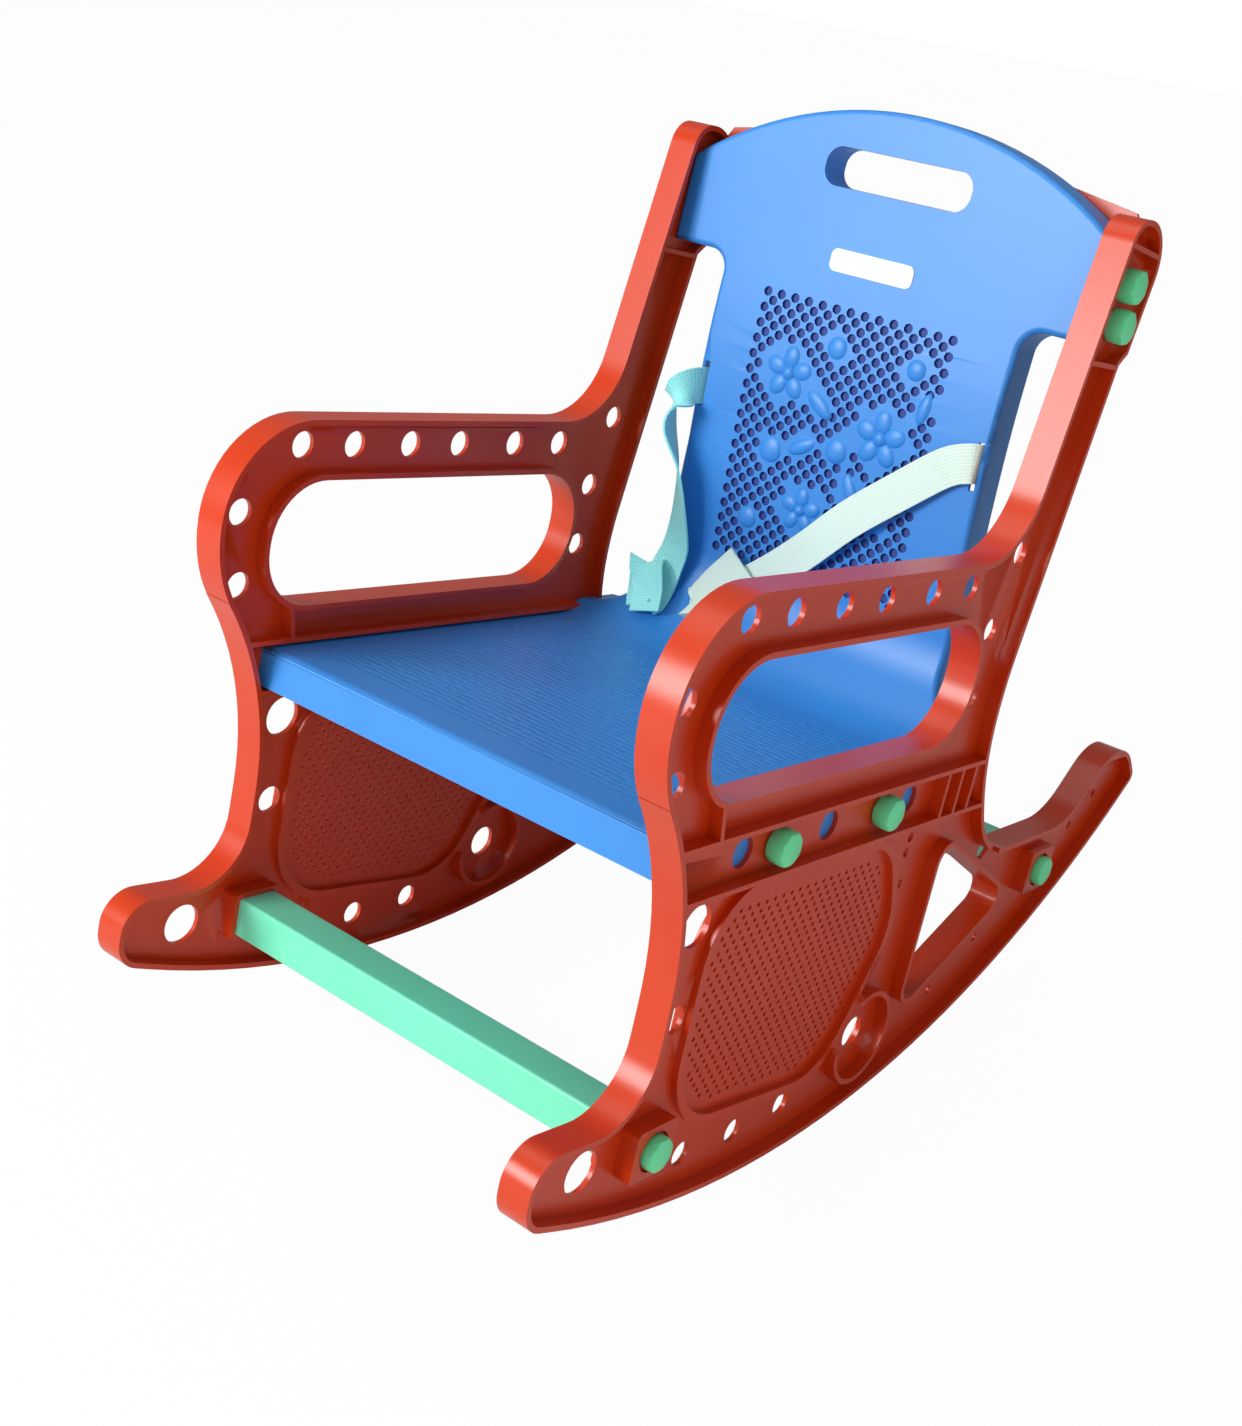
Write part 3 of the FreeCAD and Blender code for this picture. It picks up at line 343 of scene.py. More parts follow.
@dataclass(frozen=True)
class SeatedPlastic(MouldedPlastic):
    """Moulded polyethylene whose seat has a field of small uneven bosses.

    Args:
        boss_pitch: Spacing of the bosses along X and Y, in millimetres.
        boss_rise: Height of the bosses, in millimetres.
        boss_disorder: How far the bosses stray from their grid, from 0 to 1.
        boss_field: Half width, front and rear edge and top of the field, in millimetres.
    """

    boss_pitch: tuple[float, float] = (10.0, 6.0)
    boss_rise: float = 0.9
    boss_disorder: float = 0.35
    boss_field: tuple[float, float, float, float] = (136.0, -112.0, 118.0, 232.0)

    def build(self) -> bpy.types.Material:
        """Make the material."""
        material = super().build()
        tree = material.node_tree
        shader = tree.nodes["Principled BSDF"]
        coords = add_node(tree, "ShaderNodeTexCoord").outputs["Object"]
        level = add_node(
            tree, "ShaderNodeMapping",
            values={"Location": (0, -ROLL.shift_y * MM, -ROLL.shift_z * MM)},
            links={"Vector": coords})
        drawn = add_node(
            tree, "ShaderNodeMapping", values={"Rotation": (math.radians(ROLL.angle), 0, 0)},
            links={"Vector": level.outputs[0]})
        split = add_node(tree, "ShaderNodeSeparateXYZ", links={0: drawn.outputs[0]})
        half, front, rear, top = (value * MM for value in self.boss_field)
        width = add_node(tree, "ShaderNodeMath", operation="ABSOLUTE",
                         links={0: split.outputs["X"]})
        tests = [
            ("LESS_THAN", width.outputs[0], half),
            ("GREATER_THAN", split.outputs["Y"], front),
            ("LESS_THAN", split.outputs["Y"], rear),
            ("LESS_THAN", split.outputs["Z"], top),
        ]
        mask = None
        for operation, output, limit in tests:
            test = add_node(tree, "ShaderNodeMath", operation=operation,
                            values={1: limit}, links={0: output})
            if mask is None:
                mask = test
            else:
                mask = add_node(tree, "ShaderNodeMath", operation="MULTIPLY",
                                links={0: mask.outputs[0], 1: test.outputs[0]})
        pitch_x, pitch_y = self.boss_pitch
        stretch = add_node(
            tree, "ShaderNodeMapping",
            values={"Scale": (1 / (pitch_x * MM), 1 / (pitch_y * MM), 0.0)},
            links={"Vector": drawn.outputs[0]})
        bosses = add_node(tree, "ShaderNodeTexVoronoi", voronoi_dimensions="2D",
                          values={"Scale": 1.0, "Randomness": self.boss_disorder},
                          links={"Vector": stretch.outputs[0]})
        height = add_node(tree, "ShaderNodeMath", operation="MULTIPLY",
                          links={0: bosses.outputs["Distance"], 1: mask.outputs[0]})
        peel = shader.inputs["Normal"].links[0].from_socket
        bump = add_node(
            tree, "ShaderNodeBump", invert=True,
            values={"Strength": 0.9, "Distance": self.boss_rise * MM},
            links={"Height": height.outputs[0], "Normal": peel})
        tree.links.new(bump.outputs["Normal"], shader.inputs["Normal"])
        return material


@dataclass(frozen=True)
class Webbing:
    """Flat woven polypropylene strap: a fine rib across and a soft sheen.

    Args:
        name: Name of the material.
        base: Colour of the yarn, sRGB hex.
        shade: Painted shade: the darker colour of the grooves between the yarns, sRGB hex.
        pick: Spacing of the cross ribs, in millimetres; drawn coarser than the real
            1 mm picks so that they show.
        warp: Spacing of the lengthwise yarns, in millimetres.
        relief: Depth of the weave, in millimetres.
        roughness: Roughness of the yarn.
        sheen: Weight of the soft sheen.
    """

    name: str
    base: str
    shade: str
    pick: float = 1.8
    warp: float = 2.1
    relief: float = 0.4
    roughness: float = 0.75
    sheen: float = 0.25

    def build(self, width: float, length: float) -> bpy.types.Material:
        """Make the material for one strap.

        Args:
            width: Flat width of the strap, in metres.
            length: Flat length of the strap, in metres.

        Returns:
            The material.
        """
        material = bpy.data.materials.new(self.name)
        material.use_nodes = True
        tree = material.node_tree
        shader = tree.nodes["Principled BSDF"]
        shader.inputs["Roughness"].default_value = self.roughness
        shader.inputs["Sheen Weight"].default_value = self.sheen
        uv = add_node(tree, "ShaderNodeTexCoord").outputs["UV"]
        real = add_node(tree, "ShaderNodeMapping", values={"Scale": (width, length, 1.0)},
                        links={"Vector": uv})
        ribs = [
            add_node(tree, "ShaderNodeTexWave", bands_direction=axis,
                     values={"Scale": WAVE_PERIOD / (spacing * MM)},
                     links={"Vector": real.outputs[0]})
            for axis, spacing in (("X", self.warp), ("Y", self.pick))
        ]
        weave = add_node(tree, "ShaderNodeMath", operation="MULTIPLY",
                         links={0: ribs[0].outputs["Fac"], 1: ribs[1].outputs["Fac"]})
        # painted shade: the grooves between the yarns, low in the weave, take the darker colour
        colour = add_node(tree, "ShaderNodeMix", data_type="RGBA",
                          values={"A": linear(self.shade), "B": linear(self.base)},
                          links={"Factor": weave.outputs[0]})
        tree.links.new(colour.outputs["Result"], shader.inputs["Base Color"])
        bump = add_node(tree, "ShaderNodeBump",
                        values={"Strength": 0.6, "Distance": self.relief * MM},
                        links={"Height": weave.outputs[0]})
        tree.links.new(bump.outputs["Normal"], shader.inputs["Normal"])
        return material


def only(piece: bpy.types.Object) -> None:
    """Make one piece the only selected and active one.

    Args:
        piece: Mesh object.
    """
    bpy.ops.object.select_all(action="DESELECT")
    piece.select_set(True)
    bpy.context.view_layer.objects.active = piece


def apply_modifiers(piece: bpy.types.Object) -> None:
    """Apply every modifier of a piece, in order.

    Args:
        piece: Mesh object.
    """
    only(piece)
    for name in [modifier.name for modifier in piece.modifiers]:
        bpy.ops.object.modifier_apply(modifier=name)


def settle(piece: bpy.types.Object) -> None:
    """Bake a piece's place and turn into its mesh, so that its object sits at the origin.

    Args:
        piece: Mesh object.
    """
    only(piece)
    bpy.ops.object.transform_apply(location=True, rotation=True, scale=True)


def joined(pieces: list[bpy.types.Object], name: str) -> bpy.types.Object:
    """Make one piece of several.

    Args:
        pieces: Mesh objects.
        name: Name of the result.

    Returns:
        The joined piece.
    """
    only(pieces[0])
    for piece in pieces:
        piece.select_set(True)
    bpy.ops.object.join()
    whole = bpy.context.object
    whole.name = name
    return whole


def copied(template: bpy.types.Object, place: Sequence[float]) -> bpy.types.Object:
    """Copy a template, with its own mesh.

    Args:
        template: Mesh object.
        place: Where the copy goes, in metres.

    Returns:
        The copy.
    """
    twin = template.copy()
    twin.data = template.data.copy()
    bpy.context.collection.objects.link(twin)
    twin.location = place
    return twin


def node_copy(node: str, name: str) -> bpy.types.Object:
    """Copy a CAD node, with its loose triangles merged, to stand in for it.

    Args:
        node: Name of the node.
        name: Name of the copy.

    Returns:
        The copy.
    """
    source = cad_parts[node]
    piece = source.copy()
    piece.data = source.data.copy()
    piece.name = name
    bpy.context.collection.objects.link(piece)
    piece.hide_set(False)
    piece.hide_render = False
    only(piece)
    bpy.ops.object.mode_set(mode="EDIT")
    bpy.ops.mesh.select_all(action="SELECT")
    bpy.ops.mesh.remove_doubles(threshold=MERGE_DISTANCE)
    bpy.ops.object.mode_set(mode="OBJECT")
    return piece


def dissolve_flats(piece: bpy.types.Object) -> None:
    """Turn the triangles of each flat into one face.

    Args:
        piece: Mesh object.
    """
    only(piece)
    bpy.ops.object.mode_set(mode="EDIT")
    bpy.ops.mesh.select_all(action="SELECT")
    bpy.ops.mesh.dissolve_limited(angle_limit=math.radians(FLAT_ANGLE))
    bpy.ops.object.mode_set(mode="OBJECT")


def carve(piece: bpy.types.Object, cutter: bpy.types.Object,
          keep_cutter_finish: bool = False) -> None:
    """Cut one mesh out of a piece and remove the cutter.

    Args:
        piece: Mesh object that is cut.
        cutter: Closed mesh whose parts don't touch each other.
        keep_cutter_finish: Whether the cut faces take the cutter's material.

    Raises:
        ValueError: If nothing of the piece is left.
    """
    modifier = piece.modifiers.new("carve", "BOOLEAN")
    modifier.operation = "DIFFERENCE"
    modifier.solver = "EXACT"
    if keep_cutter_finish:
        modifier.material_mode = "TRANSFER"
    modifier.object = cutter
    apply_modifiers(piece)
    bpy.data.objects.remove(cutter, do_unlink=True)
    if not piece.data.polygons:
        raise ValueError(f"carving left nothing of {piece.name}")


def smooth(piece: bpy.types.Object, angle: float = 32.0) -> None:
    """Shade a piece smooth.

    Args:
        piece: Mesh object.
        angle: Edges flatter than this are smooth, in degrees.
    """
    only(piece)
    bpy.ops.object.shade_smooth_by_angle(angle=math.radians(angle))


def weigh_normals(piece: bpy.types.Object) -> None:
    """Let the large faces decide the shading, so that flats stay flat beside roundings.

    Args:
        piece: Mesh object.
    """
    modifier = piece.modifiers.new("weights", "WEIGHTED_NORMAL")
    modifier.mode = "FACE_AREA_WITH_ANGLE"
    modifier.keep_sharp = True
    modifier.weight = 80
    apply_modifiers(piece)


@dataclass
class SideFrames:
    """The two ribbed side frames, with round holes and perforated side panels.

    Args:
        web: Distance of each web from the middle plane, in millimetres.
        reach: Length of a cutter across the web, in millimetres.
        panel: Corners of the side panel: setback, height and corner radius.
        margin: Bare border of the panel, in millimetres.
        pitch: Spacing of the perforation along and up, in millimetres.
        pore: Radius of the perforation, in millimetres.
        drawn_sides: Sides that the solids' larger holes have.
        sides: Sides of a larger hole, of a pin hole and of a pore here.
        overcut: How far a cutter goes past the drawn corners, as a share.
        pin_radius: Radius of the pin holes, in millimetres.
        round_holes: Setback, height and radius of the larger holes.
        pin_holes: Setback and height of the pin holes.
    """

    web: float = 160.0
    reach: float = 12.0
    panel: tuple = (
        (-98.0, 54.0, 48.0), (64.0, 38.0, 48.0), (112.0, 127.6, 48.0),
        (83.2, 190.0, 38.4), (-98.0, 190.0, 38.4))
    margin: float = 8.0
    pitch: tuple[float, float] = (8.6, 4.6)
    pore: float = 1.5
    drawn_sides: int = 16
    sides: tuple[int, int, int] = (40, 20, 8)
    overcut: float = 0.002
    pin_radius: float = 3.3
    round_holes: tuple = (
        (-133.0, 349.0, 8.0), (-91.0, 349.0, 8.0), (-43.0, 349.0, 8.0), (2.0, 349.0, 8.0),
        (56.0, 349.0, 8.0), (102.0, 349.0, 8.0), (-173.0, 310.0, 8.0), (-166.5, 266.0, 8.0),
        (157.0, 367.0, 7.5), (145.0, 319.0, 7.5), (144.0, 276.0, 7.5), (-114.5, 178.7, 12.3),
        (-114.0, 123.2, 8.3), (-170.6, 50.0, 12.5), (-73.0, 27.0, 7.5), (-19.0, 23.5, 7.5),
        (33.0, 25.0, 7.5), (-86.0, 215.5, 9.0), (2.0, 215.5, 9.0), (95.0, 215.5, 9.0),
        (230.0, 157.0, 7.5), (105.0, 53.5, 10.5))
    pin_holes: tuple = (
        (113.0, 187.0), (112.0, 177.0), (115.0, 155.0), (205.0, 57.0), (258.0, 84.0),
        (374.0, 148.0), (404.0, 168.0))

    def build(self, finish: bpy.types.Material) -> None:
        """Make both frames.

        Args:
            finish: Material of the frames.
        """
        for side in Side:
            node = f"{side.word}_side_frame"
            piece = node_copy(node, f"{side.word}_frame_moulding")
            dissolve_flats(piece)
            carve(piece, self.hole_cutter(side))
            carve(piece, self.pore_cutter(side))
            dress(piece, finish)
            smooth(piece)
            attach(piece, "root")
            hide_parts(node)
            LOG.info("%s: %d faces", piece.name, len(piece.data.polygons))

    def pin(self, side: Side, radius: float, sides: int, y: float, z: float) -> bpy.types.Object:
        """Make a round cutter across the web of one frame.

        Args:
            side: Side of the chair.
            radius: Radius of the cutter, in millimetres.
            sides: Number of its sides.
            y: Setback, in millimetres.
            z: Height, in millimetres.

        Returns:
            The cutter.
        """
        bpy.ops.mesh.primitive_cylinder_add(
            vertices=sides, radius=radius * MM, depth=self.reach * MM,
            location=ROLL.place(side.value * self.web, y, z), rotation=(0, math.pi / 2, 0))
        return bpy.context.object

    def hole_cutter(self, side: Side) -> bpy.types.Object:
        """Make one cutter of all larger holes and pin holes of a web.

        Args:
            side: Side of the chair.

        Returns:
            The cutter, which just clears the corners of the drawn holes.
        """
        hole_sides, pin_sides, _ = self.sides
        clear = 1 / math.cos(math.pi / self.drawn_sides) + self.overcut
        pins = [self.pin(side, radius * clear, hole_sides, y, z)
                for y, z, radius in self.round_holes]
        pins += [self.pin(side, self.pin_radius, pin_sides, y, z) for y, z in self.pin_holes]
        return joined(pins, "hole_cutter")

    def pore_cutter(self, side: Side) -> bpy.types.Object:
        """Make one cutter of the perforation of a side panel.

        Args:
            side: Side of the chair.

        Returns:
            The cutter.
        """
        template = self.pin(side, self.pore, self.sides[2], 0.0, 0.0)
        settle(template)
        zero = ROLL.place(0, 0, 0)
        front, rear = (pick(corner[0] for corner in self.panel) for pick in (min, max))
        foot, top = (pick(corner[1] for corner in self.panel) for pick in (min, max))
        step_y, step_z = self.pitch
        pores = []
        for row in range(int((top - foot) / step_z)):
            z = foot + (row + 0.5) * step_z
            start = front + (row % 2) * step_y / 2
            for column in range(int((rear - front) / step_y) + 1):
                y = start + column * step_y
                if self.in_panel(y, z):
                    pores.append(copied(template, ROLL.place(0, y, z) - zero))
        bpy.data.objects.remove(template, do_unlink=True)
        return joined(pores, "pore_cutter")

    def in_panel(self, y: float, z: float) -> bool:
        """Tell whether a pore lies in the rounded panel, clear of its bare border.

        Args:
            y: Setback, in millimetres.
            z: Height, in millimetres.

        Returns:
            Whether it does.
        """
        count = len(self.panel)
        point = Vector((y, z))
        for index, (corner_y, corner_z, radius) in enumerate(self.panel):
            corner = Vector((corner_y, corner_z))
            before = (Vector(self.panel[index - 1][:2]) - corner).normalized()
            after = (Vector(self.panel[(index + 1) % count][:2]) - corner).normalized()
            inward = Vector((-after.y, after.x))
            arm = point - corner
            if arm.dot(inward) < self.margin:
                return False
            half = before.angle(after) / 2
            reach = radius / math.tan(half)
            centre = corner + (before + after).normalized() * (radius / math.sin(half))
            near_corner = arm.dot(before) < reach and arm.dot(after) < reach
            if near_corner and (point - centre).length > radius - self.margin:
                return False
        return True


@dataclass
class Shell:
    """Seat and back in one moulding, with a lattice field, low reliefs and a bare plate.

    Args:
        probe: Setbacks between which the front of the back lies, in millimetres.
        lattice: Lowest and highest X, lowest and highest Z of the field, in millimetres.
        pitch: Spacing of the pits along X and up, in millimetres.
        pit: Half width and half height of a pit, in millimetres.
        pit_depth: Depth of a pit, in millimetres.
        pit_reach: Length of a pit's cutter, in millimetres.
        pit_sides: Sides of a pit.
        overhang: How far the last pit of a row may pass the field, in millimetres.
        flowers: X, Z and size of the flower reliefs.
        buttons: X, Z and radius of the round reliefs.
        leaves: X, Z, length and turn in degrees of the leaf reliefs.
        clear: Bare ground: share of a flower's size, rim round a button in
            millimetres, share of a leaf's length.
        petals: Number of petals and the angle of the first, in degrees.
        petal: Reach, half length and half width of a petal and radius of the
            flower's eye, as shares of the flower's size.
        leaf: Half length and half width of a leaf, as shares of its length.
        rise: Height of a petal or leaf, of a flower's eye and of a button.
        sunk: Half thickness and depth of the middle of a relief, as shares of its rise.
        plate_place: X and Z of the plate's middle, in millimetres.
        plate_size: Width, height and thickness of the plate, in millimetres.
        plate_corner: Radius of the plate's corners, in millimetres.
        plate_inset: How far the plate's back lies in the shell, in millimetres.
    """

    probe: tuple[float, float] = (60.0, 400.0)
    lattice: tuple[float, float, float, float] = (-76.0, 76.0, 299.0, 479.0)
    pitch: tuple[float, float] = (10.9, 5.2)
    pit: tuple[float, float] = (3.4, 3.3)
    pit_depth: float = 2.1
    pit_reach: float = 8.0
    pit_sides: int = 8
    overhang: float = 1.0
    flowers: tuple = ((-42.0, 428.0, 34.0), (36.0, 404.0, 36.0), (-12.0, 342.0, 30.0))
    buttons: tuple = (
        (-10.0, 452.0, 8.0), (6.0, 388.0, 9.0), (-44.0, 376.0, 9.5),
        (50.0, 452.0, 7.5), (46.0, 352.0, 9.0), (-52.0, 326.0, 8.0))
    leaves: tuple = (
        (-14.0, 414.0, 26.0, 35.0), (62.0, 430.0, 22.0, 100.0),
        (-20.0, 384.0, 24.0, -30.0), (22.0, 366.0, 24.0, 60.0))
    clear: tuple[float, float, float] = (0.62, 1.5, 0.42)
    petals: tuple[int, float] = (5, 18.0)
    petal: tuple[float, float, float, float] = (0.31, 0.24, 0.19, 0.16)
    leaf: tuple[float, float] = (0.5, 0.22)
    rise: tuple[float, float, float] = (1.8, 2.8, 2.0)
    sunk: tuple[float, float] = (1.6, 0.6)
    plate_place: tuple[float, float] = (-1.0, 506.0)
    plate_size: tuple[float, float, float] = (62.0, 14.5, 1.2)
    plate_corner: float = 4.5
    plate_inset: float = 0.5
    surface: BVHTree = field(init=False, repr=False)

    def build(self, finish: bpy.types.Material, pit_shade_finish: bpy.types.Material,
              plate_finish: bpy.types.Material) -> None:
        """Make the shell and what stands on it.

        Args:
            finish: Material of the shell and its reliefs.
            pit_shade_finish: Material inside the pits, a dark navy that paints in their shade.
            plate_finish: Material of the plate.
        """
        piece = node_copy("seat_back_shell", "seat_back_moulding")
        self.surface = BVHTree.FromObject(
            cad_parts["seat_back_shell"], bpy.context.evaluated_depsgraph_get())
        dress(piece, finish)
        cutter = self.lattice_cutter()
        # the pits' faces take a dark navy: painted shade
        dress(cutter, pit_shade_finish)
        carve(piece, cutter, keep_cutter_finish=True)
        smooth(piece)
        weigh_normals(piece)
        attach(piece, "root")
        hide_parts("seat_back_shell")
        LOG.info("%s: %d faces", piece.name, len(piece.data.polygons))
        reliefs = self.reliefs()
        dress(reliefs, finish)
        smooth(reliefs, 50.0)
        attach(reliefs, "root")
        LOG.info("%s: %d faces", reliefs.name, len(reliefs.data.polygons))
        plate = self.plate()
        dress(plate, plate_finish)
        smooth(plate)
        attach(plate, "root")
        LOG.info("%s: %d faces", plate.name, len(plate.data.polygons))

    def face_at(self, x: float, z: float) -> float:
        """Find the front of the back.

        Args:
            x: Place across, in millimetres.
            z: Height in the drawing frame, in millimetres.

        Returns:
            Its setback, in millimetres.
        """
        near, far = self.probe
        start = ROLL.place(x, near, z)
        ahead = (ROLL.place(x, far, z) - start).normalized()
        hit = self.surface.ray_cast(start, ahead)[0]
        return near + (hit - start).length / MM

    def is_bare(self, x: float, z: float) -> bool:
        """Tell whether a place is kept free of pits for a relief.

        Args:
            x: Place across, in millimetres.
            z: Height, in millimetres.

        Returns:
            Whether it is.
        """
        flower_share, button_rim, leaf_share = self.clear
        spots = [(fx, fz, size * flower_share) for fx, fz, size in self.flowers]
        spots += [(bx, bz, radius + button_rim) for bx, bz, radius in self.buttons]
        spots += [(lx, lz, length * leaf_share) for lx, lz, length, _ in self.leaves]
        return any(math.hypot(x - sx, z - sz) < reach for sx, sz, reach in spots)

    def lattice_cutter(self) -> bpy.types.Object:
        """Make one cutter of all pits, each as deep as the next under the surface.

        Returns:
            The cutter.
        """
        half_x, half_z = self.pit
        low_x, high_x, low_z, high_z = self.lattice
        step_x, step_z = self.pitch
        bpy.ops.mesh.primitive_cylinder_add(
            vertices=self.pit_sides, radius=MM, depth=self.pit_reach * MM, location=(0, 0, 0),
            rotation=(math.pi / 2 - math.radians(ROLL.angle), 0, 0))
        template = bpy.context.object
        template.scale = (half_x, half_z, 1.0)
        settle(template)
        pits = []
        for row in range(int((high_z - low_z) / step_z) + 1):
            z = low_z + row * step_z
            start = low_x + half_x + (row % 2) * step_x / 2
            for column in range(int((high_x - start) / step_x) + 1):
                x = start + column * step_x
                if x + half_x > high_x + self.overhang or self.is_bare(x, z):
                    continue
                y = self.face_at(x, z) + self.pit_depth - self.pit_reach / 2
                pits.append(copied(template, ROLL.place(x, y, z)))
        bpy.data.objects.remove(template, do_unlink=True)
        return joined(pits, "lattice_cutter")

    def pebble(self, x: float, z: float, half_x: float, half_z: float, turn: float,
               rise: float) -> bpy.types.Object:
        """Make one smooth low boss on the back, sunk into its surface.

        Args:
            x: Place across, in millimetres.
            z: Height, in millimetres.
            half_x: Half length, in millimetres.
            half_z: Half width, in millimetres.
            turn: Turn in the face of the back, in degrees.
            rise: How far it stands proud, in millimetres.

        Returns:
            The boss.
        """
        half_share, depth_share = self.sunk
        bpy.ops.mesh.primitive_uv_sphere_add(segments=20, ring_count=10, radius=MM)
        boss = bpy.context.object
        boss.scale = (half_x, rise * half_share, half_z)
        boss.rotation_euler = (0, math.radians(turn), 0)
        settle(boss)
        boss.rotation_euler = (-math.radians(ROLL.angle), 0, 0)
        boss.location = ROLL.place(x, self.face_at(x, z) + rise * depth_share, z)
        return boss

    def reliefs(self) -> bpy.types.Object:
        """Make the plain flowers, round buttons and leaves of the lattice field.

        Returns:
            One piece of them all.
        """
        low, eye_rise, button_rise = self.rise
        count, first = self.petals
        reach_share, length_share, width_share, eye_share = self.petal
        parts = []
        for x, z, size in self.flowers:
            reach = size * reach_share
            for petal in range(count):
                angle = math.radians(petal * 360 / count + first)
                parts.append(self.pebble(
                    x + reach * math.cos(angle), z + reach * math.sin(angle),
                    size * length_share, size * width_share, -math.degrees(angle), low))
            parts.append(self.pebble(x, z, size * eye_share, size * eye_share, 0.0, eye_rise))
        for x, z, radius in self.buttons:
            parts.append(self.pebble(x, z, radius, radius, 0.0, button_rise))
        half_share, width_share = self.leaf
        for x, z, length, turn in self.leaves:
            parts.append(self.pebble(x, z, length * half_share, length * width_share, turn, low))
        for part in parts:
            settle(part)
        return joined(parts, "back_reliefs")

    def plate(self) -> bpy.types.Object:
        """Make the bare white plate with rounded corners above the lattice.

        Returns:
            The plate.
        """
        x, z = self.plate_place
        width, height, thickness = self.plate_size
        bpy.ops.mesh.primitive_plane_add(size=1.0, location=(0, 0, 0))
        plate = bpy.context.object
        plate.name = "bare_plate"
        plate.scale = (width * MM, height * MM, 1.0)
        settle(plate)
        bpy.ops.object.mode_set(mode="EDIT")
        bpy.ops.mesh.select_all(action="SELECT")
        bpy.ops.mesh.bevel(offset=self.plate_corner * MM, segments=6, affect="VERTICES")
        bpy.ops.mesh.select_all(action="SELECT")
        bpy.ops.mesh.extrude_region_move(
            TRANSFORM_OT_translate={"value": (0, 0, thickness * MM)})
        bpy.ops.mesh.select_all(action="SELECT")
        bpy.ops.mesh.normals_make_consistent(inside=False)
        bpy.ops.object.mode_set(mode="OBJECT")
        plate.rotation_euler = (math.pi / 2 - math.radians(ROLL.angle), 0, 0)
        plate.location = ROLL.place(x, self.face_at(x, z) + self.plate_inset, z)
        settle(plate)
        return plate


@dataclass
class Caps:
    """Big rounded eight-sided caps on all bolts, with their plain shanks.

    Args:
        radius: Corner radius of a cap, in millimetres.
        sides: Sides of a cap.
        bevel: Bevel of a cap's edges, in millimetres.
        thickness: Thickness of a cap on the shell's bolts, in millimetres.
        bar_thickness: Thickness of a cap on the bars' bolts, in millimetres.
        shank: Radius of a shank, in millimetres.
        overlap: Share of a cap's thickness that its shank goes into.
    """

    radius: float = 11.1
    sides: int = 8
    bevel: float = 2.6
    thickness: float = 12.5
    bar_thickness: float = 9.0
    shank: float = 4.0
    overlap: float = 0.2

    def build(self, finish: bpy.types.Material) -> None:
        """Replace every bolt by a capped one.

        Args:
            finish: Material of the caps and shanks.
        """
        for node in sorted(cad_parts):
            if node.endswith("bolt"):
                piece = self.bolt(node)
                dress(piece, finish)
                smooth(piece, 28.0)
                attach(piece, "root")
                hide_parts(node)
                LOG.info("%s: %d faces", piece.name, len(piece.data.polygons))

    def bolt(self, node: str) -> bpy.types.Object:
        """Make one bolt in the place of its node.

        Args:
            node: Name of the node.

        Returns:
            The capped bolt.
        """
        low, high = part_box(node)
        side = 1 if high[0] > 0 else -1
        outer = high[0] if side > 0 else low[0]
        inner = low[0] if side > 0 else high[0]
        y = (low[1] + high[1]) / 2
        z = (low[2] + high[2]) / 2
        thick = (self.bar_thickness if node.endswith("bar_bolt") else self.thickness) * MM
        bpy.ops.mesh.primitive_cylinder_add(
            vertices=self.sides, radius=self.radius * MM, depth=thick, location=(0, 0, 0))
        cap = bpy.context.object
        bpy.ops.object.mode_set(mode="EDIT")
        bpy.ops.mesh.select_all(action="SELECT")
        bpy.ops.mesh.bevel(
            offset=self.bevel * MM, segments=2, affect="EDGES", clamp_overlap=True)
        bpy.ops.object.mode_set(mode="OBJECT")
        # half a side's angle brings a flat to the top of the cap
        cap.rotation_euler = (0, 0, math.radians(180 / self.sides - side * ROLL.angle))
        settle(cap)
        cap.rotation_euler = (0, side * math.pi / 2, 0)
        cap.location = (outer - side * thick / 2, y, z)
        settle(cap)
        start = outer - side * thick * (1 - self.overlap)
        bpy.ops.mesh.primitive_cylinder_add(
            vertices=24, radius=self.shank * MM, depth=abs(start - inner),
            location=((start + inner) / 2, y, z), rotation=(0, math.pi / 2, 0))
        shank = bpy.context.object
        settle(shank)
        return joined([cap, shank], node.replace("bolt", "capped_bolt"))


